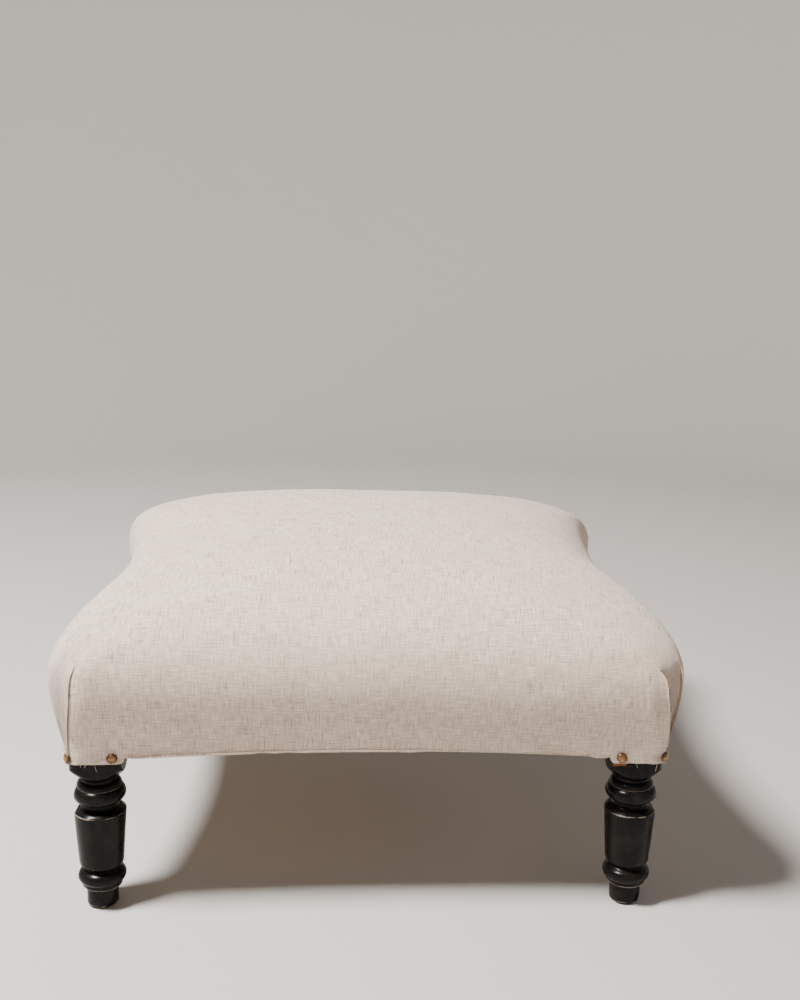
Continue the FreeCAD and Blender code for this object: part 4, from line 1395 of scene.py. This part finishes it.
@dataclass(frozen=True)
class TurnedLeg:
    """Leg turned below a square block: foot, ring, tapered drum, beads and shoulder.

    Edges that bend by less than blunt stay as they are, and a patch of bare wood faces bare_way. Both
    are angles in degrees.
    """

    layout: Layout
    profile: tuple[Turn, ...] = (
        Turn(12.7, 0),
        Turn(15.7, 3),
        Turn(15.7, 22.4),
        Turn(20, 22.4),
        Turn(20, 27.2),
        Turn(21, 27.2),
        Turn(19.8, 39.8, through=(24, 33.6)),
        Turn(17.4, 41.6),
        Turn(22, 47),
        Turn(26, 103.4),
        Turn(22, 106.2),
        Turn(16.4, 111.6, through=(18.1, 107.8)),
        Turn(18.2, 113.6),
        Turn(21.6, 129.8, through=(26, 123.6)),
        Turn(22.4, 129.8),
        Turn(17.6, 136.8, through=(21.4, 134)),
        Turn(17.6, 139),
        Turn(36.9, 160, through=(28.4, 149.2)),
    )
    segments: int = 96
    arc_points: int = 11
    easing: float = 0.7
    blunt: float = 14.0
    row_length: float = 2.6
    arris_round: float = 12.0
    front_setback: float = 2.4
    side_setback: float = 8.4
    chip_start: float = 0.28
    chip_depth: float = 2.4
    sole_wear: float = 1.6
    waver: float = 0.10
    bare_way: float = 232.0

    def outline(self) -> np.ndarray:
        """Profile with its edges eased, as radius, height and wear of each row."""
        points = [(self.profile[0].radius, self.profile[0].height)]
        for before, turn in zip(self.profile, self.profile[1:]):
            if turn.through is None:
                points.append((turn.radius, turn.height))
            else:
                start, end = (before.radius, before.height), (turn.radius, turn.height)
                points += [tuple(p) for p in arc_through(start, turn.through, end, self.arc_points)[1:]]
        points.append((points[-1][0], self.layout.block_top))
        line = np.array(points)
        rows = [(*line[0], 0.0)]
        for before, here, after in zip(line, line[1:], line[2:]):
            ways = [here - before, after - here]
            lengths = [float(np.linalg.norm(way)) for way in ways]
            ways = [way / length for way, length in zip(ways, lengths)]
            bend = math.atan2(ways[0][0] * ways[1][1] - ways[0][1] * ways[1][0], float(ways[0] @ ways[1]))
            if abs(bend) < math.radians(self.blunt):
                rows.append((*here, max(bend, 0) * 0.9))
                continue
            cut = min(self.easing, 0.4 * lengths[0], 0.4 * lengths[1])
            start, end = here - ways[0] * cut, here + ways[1] * cut
            middle = (start + 2 * here + end) / 4
            worn = min(max(bend, 0) * 0.75, 1.0)
            rows += [(*start, worn * 0.8), (*middle, worn), (*end, worn * 0.8)]
        rows.append((*line[-1], 0.0))
        dense = [rows[0]]
        for before, here in zip(rows, rows[1:]):
            length = math.hypot(here[0] - before[0], here[1] - before[1])
            count = max(1, math.ceil(length / self.row_length))
            near = min(0.35, 1.0 / count)
            for k in range(1, count):
                share = k / count
                fade = max(0.0, 1 - share / near) * before[2] + max(0.0, 1 - (1 - share) / near) * here[2]
                spot = [a + (b - a) * share for a, b in zip(before[:2], here[:2])]
                dense.append((*spot, 0.4 * fade))
            dense.append(here)
        return np.array(dense)

    def block_limit(self, corner: Corner, angle: np.ndarray) -> np.ndarray:
        """Distance from the leg's axis to the block's faces.

        Args:
            corner: the leg's corner.
            angle: directions from the axis.

        Returns:
            One distance for each direction.
        """
        half = self.layout.half_block
        way_x, way_y = np.cos(angle) * corner.value[0], np.sin(angle) * corner.value[1]
        faces = [(-1.0, 0.0, half), (0.0, -1.0, half)]
        for setback, swap in ((self.front_setback, False), (self.side_setback, True)):
            tilt = setback / (2 * half)
            normal = (-tilt, 1.0) if not swap else (1.0, -tilt)
            faces.append((*normal, half - tilt * half))
        limit = np.full(len(angle), 1e3)
        for normal_x, normal_y, reach in faces:
            facing = way_x * normal_x + way_y * normal_y
            limit = np.where(facing > 1e-6, np.minimum(limit, reach / np.maximum(facing, 1e-6)), limit)
        middle = half - self.arris_round
        ahead = middle * (way_x + way_y)
        arris = ahead + np.sqrt(np.maximum(ahead ** 2 - 2 * middle ** 2 + self.arris_round ** 2, 0))
        rounded = (way_x > 0) & (way_y > 0) & (arris * way_x > middle) & (arris * way_y > middle)
        return np.where(rounded, np.minimum(limit, arris), limit)

    def leg(self, corner: Corner, number: int) -> bpy.types.Object:
        """Make a leg.

        Args:
            corner: its corner.
            number: moves its dents and wear.

        Returns:
            The leg.
        """
        rows = self.outline()
        angle = np.linspace(0, 2 * math.pi, self.segments, endpoint=False)
        radius = np.minimum(rows[:, :1], self.block_limit(corner, angle)[None])
        level = np.broadcast_to(rows[:, 1:2], radius.shape)
        whole = np.ones_like(radius)
        unit = np.dstack([np.cos(angle) * whole, np.sin(angle) * whole, level])
        spots = unit * (20, 20, 1)
        wear = rows[:, 2:] * whole
        chips = np.clip(ripple(spots, 7, 20 + number) - self.chip_start, 0, 1) * wear * self.chip_depth
        sole = eased(9, 0, level) * np.clip(ripple(spots, 11, 30 + number), 0, 1) * self.sole_wear
        radius = radius - chips - sole + self.waver * ripple(spots, 38, 40 + number)
        wear = wear + 0.35 * eased(6, 0, level) + 0.25 * ripple(spots, 16, 50 + number) * (wear > 0.05)
        bare = np.zeros_like(radius)
        if corner is Corner.FRONT_RIGHT:
            toward = np.cos(angle - math.radians(self.bare_way))[None]
            bare = 0.85 * eased(0.955, 0.995, toward) * eased(155, 161, level) * eased(168, 163, level)
        x = corner.value[0] * self.layout.axis_x + radius * unit[:, :, 0]
        y = corner.value[1] * self.layout.axis_y + radius * unit[:, :, 1]
        shape = Shape()
        shape.net(np.dstack([x, y, level]), around=True, ends=True, wear=np.clip(wear, 0, 1.2), bare=bare)
        made = shape.piece(f"leg_{corner.label}_turned", EBONY, crease=35)
        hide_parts(f"leg_{corner.label}")
        return made


# Studio


@dataclass(frozen=True)
class Studio:
    """Pale paper sweep, soft lights and the camera."""

    floor_radius: float = 2.1
    cove_radius: float = 1.0
    wall_height: float = 3.4
    camera_place: tuple[float, float, float] = (-0.038, -1.412, 0.692)
    look_down: float = 0.227
    look_right: float = 0.0545
    roll: float = 0.0212
    focal_length: float = 45.4
    sensor_width: float = 36.0
    aim: tuple[float, float, float] = (0.0, 0.0, 0.25)
    key_place: tuple[float, float, float] = (-1.2, -0.68, 2.4)
    key_size: float = 0.6
    key_power: float = 225.0
    key_colour: Colour = (1.0, 0.985, 0.96)
    fill_place: tuple[float, float, float] = (1.9, -1.6, 1.2)
    fill_size: float = 1.6
    fill_power: float = 1.0
    fill_colour: Colour = (1.0, 0.99, 0.98)
    room_light: float = 0.08
    room_colour: Colour = (1.0, 0.98, 0.96)

    def sweep(self) -> bpy.types.Object:
        """Make the paper, flat under the stool and curved up all round it."""
        bend = np.linspace(0, math.pi / 2, 14)
        out = self.floor_radius + self.cove_radius * np.sin(bend)
        profile = [(0.05, 0.0), (0.5, 0.0), *zip(out, self.cove_radius * (1 - np.cos(bend)))]
        profile.append((out[-1], self.wall_height))
        turn = np.linspace(0, 2 * math.pi, 96, endpoint=False)
        ring = np.column_stack([np.cos(turn), np.sin(turn), np.zeros(len(turn))])
        shape = Shape()
        rows = [ring * radius + (0, 0, level) for radius, level in profile]
        shape.net(np.array(rows) / MM, around=True)
        shape.faces.append(tuple(range(len(turn))))
        made = shape.thing("paper_sweep", PAPER)
        return made

    def lamp(self, name: str, place: Sequence[float], size: float, power: float, colour: Colour) -> None:
        """Add an area light that faces the seat.

        Args:
            name: its name.
            place: where it stands, in metres.
            size: its width in metres.
            power: its power in watts.
            colour: its colour.
        """
        light = bpy.data.lights.new(name, "AREA")
        light.shape = "DISK"
        light.size, light.energy, light.color = size, power, colour
        made = bpy.data.objects.new(name, light)
        made.location = place
        made.rotation_euler = (Vector(self.aim) - Vector(place)).to_track_quat("-Z", "Y").to_euler()
        bpy.context.scene.collection.objects.link(made)

    def lights(self) -> None:
        """Add the key light from the upper left, a weak fill and the light of the room."""
        self.lamp("key_light", self.key_place, self.key_size, self.key_power, self.key_colour)
        self.lamp("fill_light", self.fill_place, self.fill_size, self.fill_power, self.fill_colour)
        world = bpy.data.worlds.new("room")
        world.use_nodes = True
        tree = Tree(world.node_tree)
        inputs = {"Color": (*self.room_colour, 1.0), "Strength": self.room_light}
        room = tree.add("ShaderNodeBackground", {}, inputs)
        tree.add("ShaderNodeOutputWorld", {}, {"Surface": room})
        bpy.context.scene.world = world

    def camera(self) -> None:
        """Add the camera at the photograph's angle."""
        down, right = self.look_down, self.look_right
        ahead = Vector((math.sin(right), math.cos(right), 0.0)) * math.cos(down)
        ahead.z = -math.sin(down)
        level = Vector((math.cos(right), -math.sin(right), 0.0))
        upright = level.cross(ahead)
        side = level * math.cos(self.roll) + upright * math.sin(self.roll)
        over = upright * math.cos(self.roll) - level * math.sin(self.roll)
        lens = bpy.data.cameras.new("camera")
        lens.lens, lens.sensor_width, lens.clip_end = self.focal_length, self.sensor_width, 50.0
        made = bpy.data.objects.new("camera", lens)
        turned = Matrix((side, over, -ahead)).transposed().to_4x4()
        made.matrix_world = Matrix.Translation(self.camera_place) @ turned
        bpy.context.scene.collection.objects.link(made)
        bpy.context.scene.camera = made


def dress_rails() -> None:
    """Give the rails, whose shapes stay as packed, their beech with the grain along each."""
    for name, finish in (("front", BEECH_X), ("rear", BEECH_X), ("left", BEECH_Y), ("right", BEECH_Y)):
        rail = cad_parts[f"rail_{name}"]
        rail.data.materials.clear()
        rail.data.materials.append(finish.material())
        LOG.info("rail_%s: planed beech", name)


def main() -> None:
    """Build the stool and its studio."""
    logging.basicConfig(level=logging.INFO, format="%(message)s")
    layout = Layout.read()
    cushion = Cushion(layout)
    linen = LinenCover(cushion)
    linen.cover()
    linen.nails()
    linen.threads()
    Stuffing(cushion).pad()
    springs = SeatSprings()
    springs.springs()
    SpringHessian().cloth(springs.middles())
    Webbing().straps()
    legs = TurnedLeg(layout)
    for number, corner in enumerate(Corner):
        legs.leg(corner, number)
    dress_rails()
    studio = Studio()
    studio.sweep()
    studio.lights()
    studio.camera()


if __name__ == "__main__":
    main()
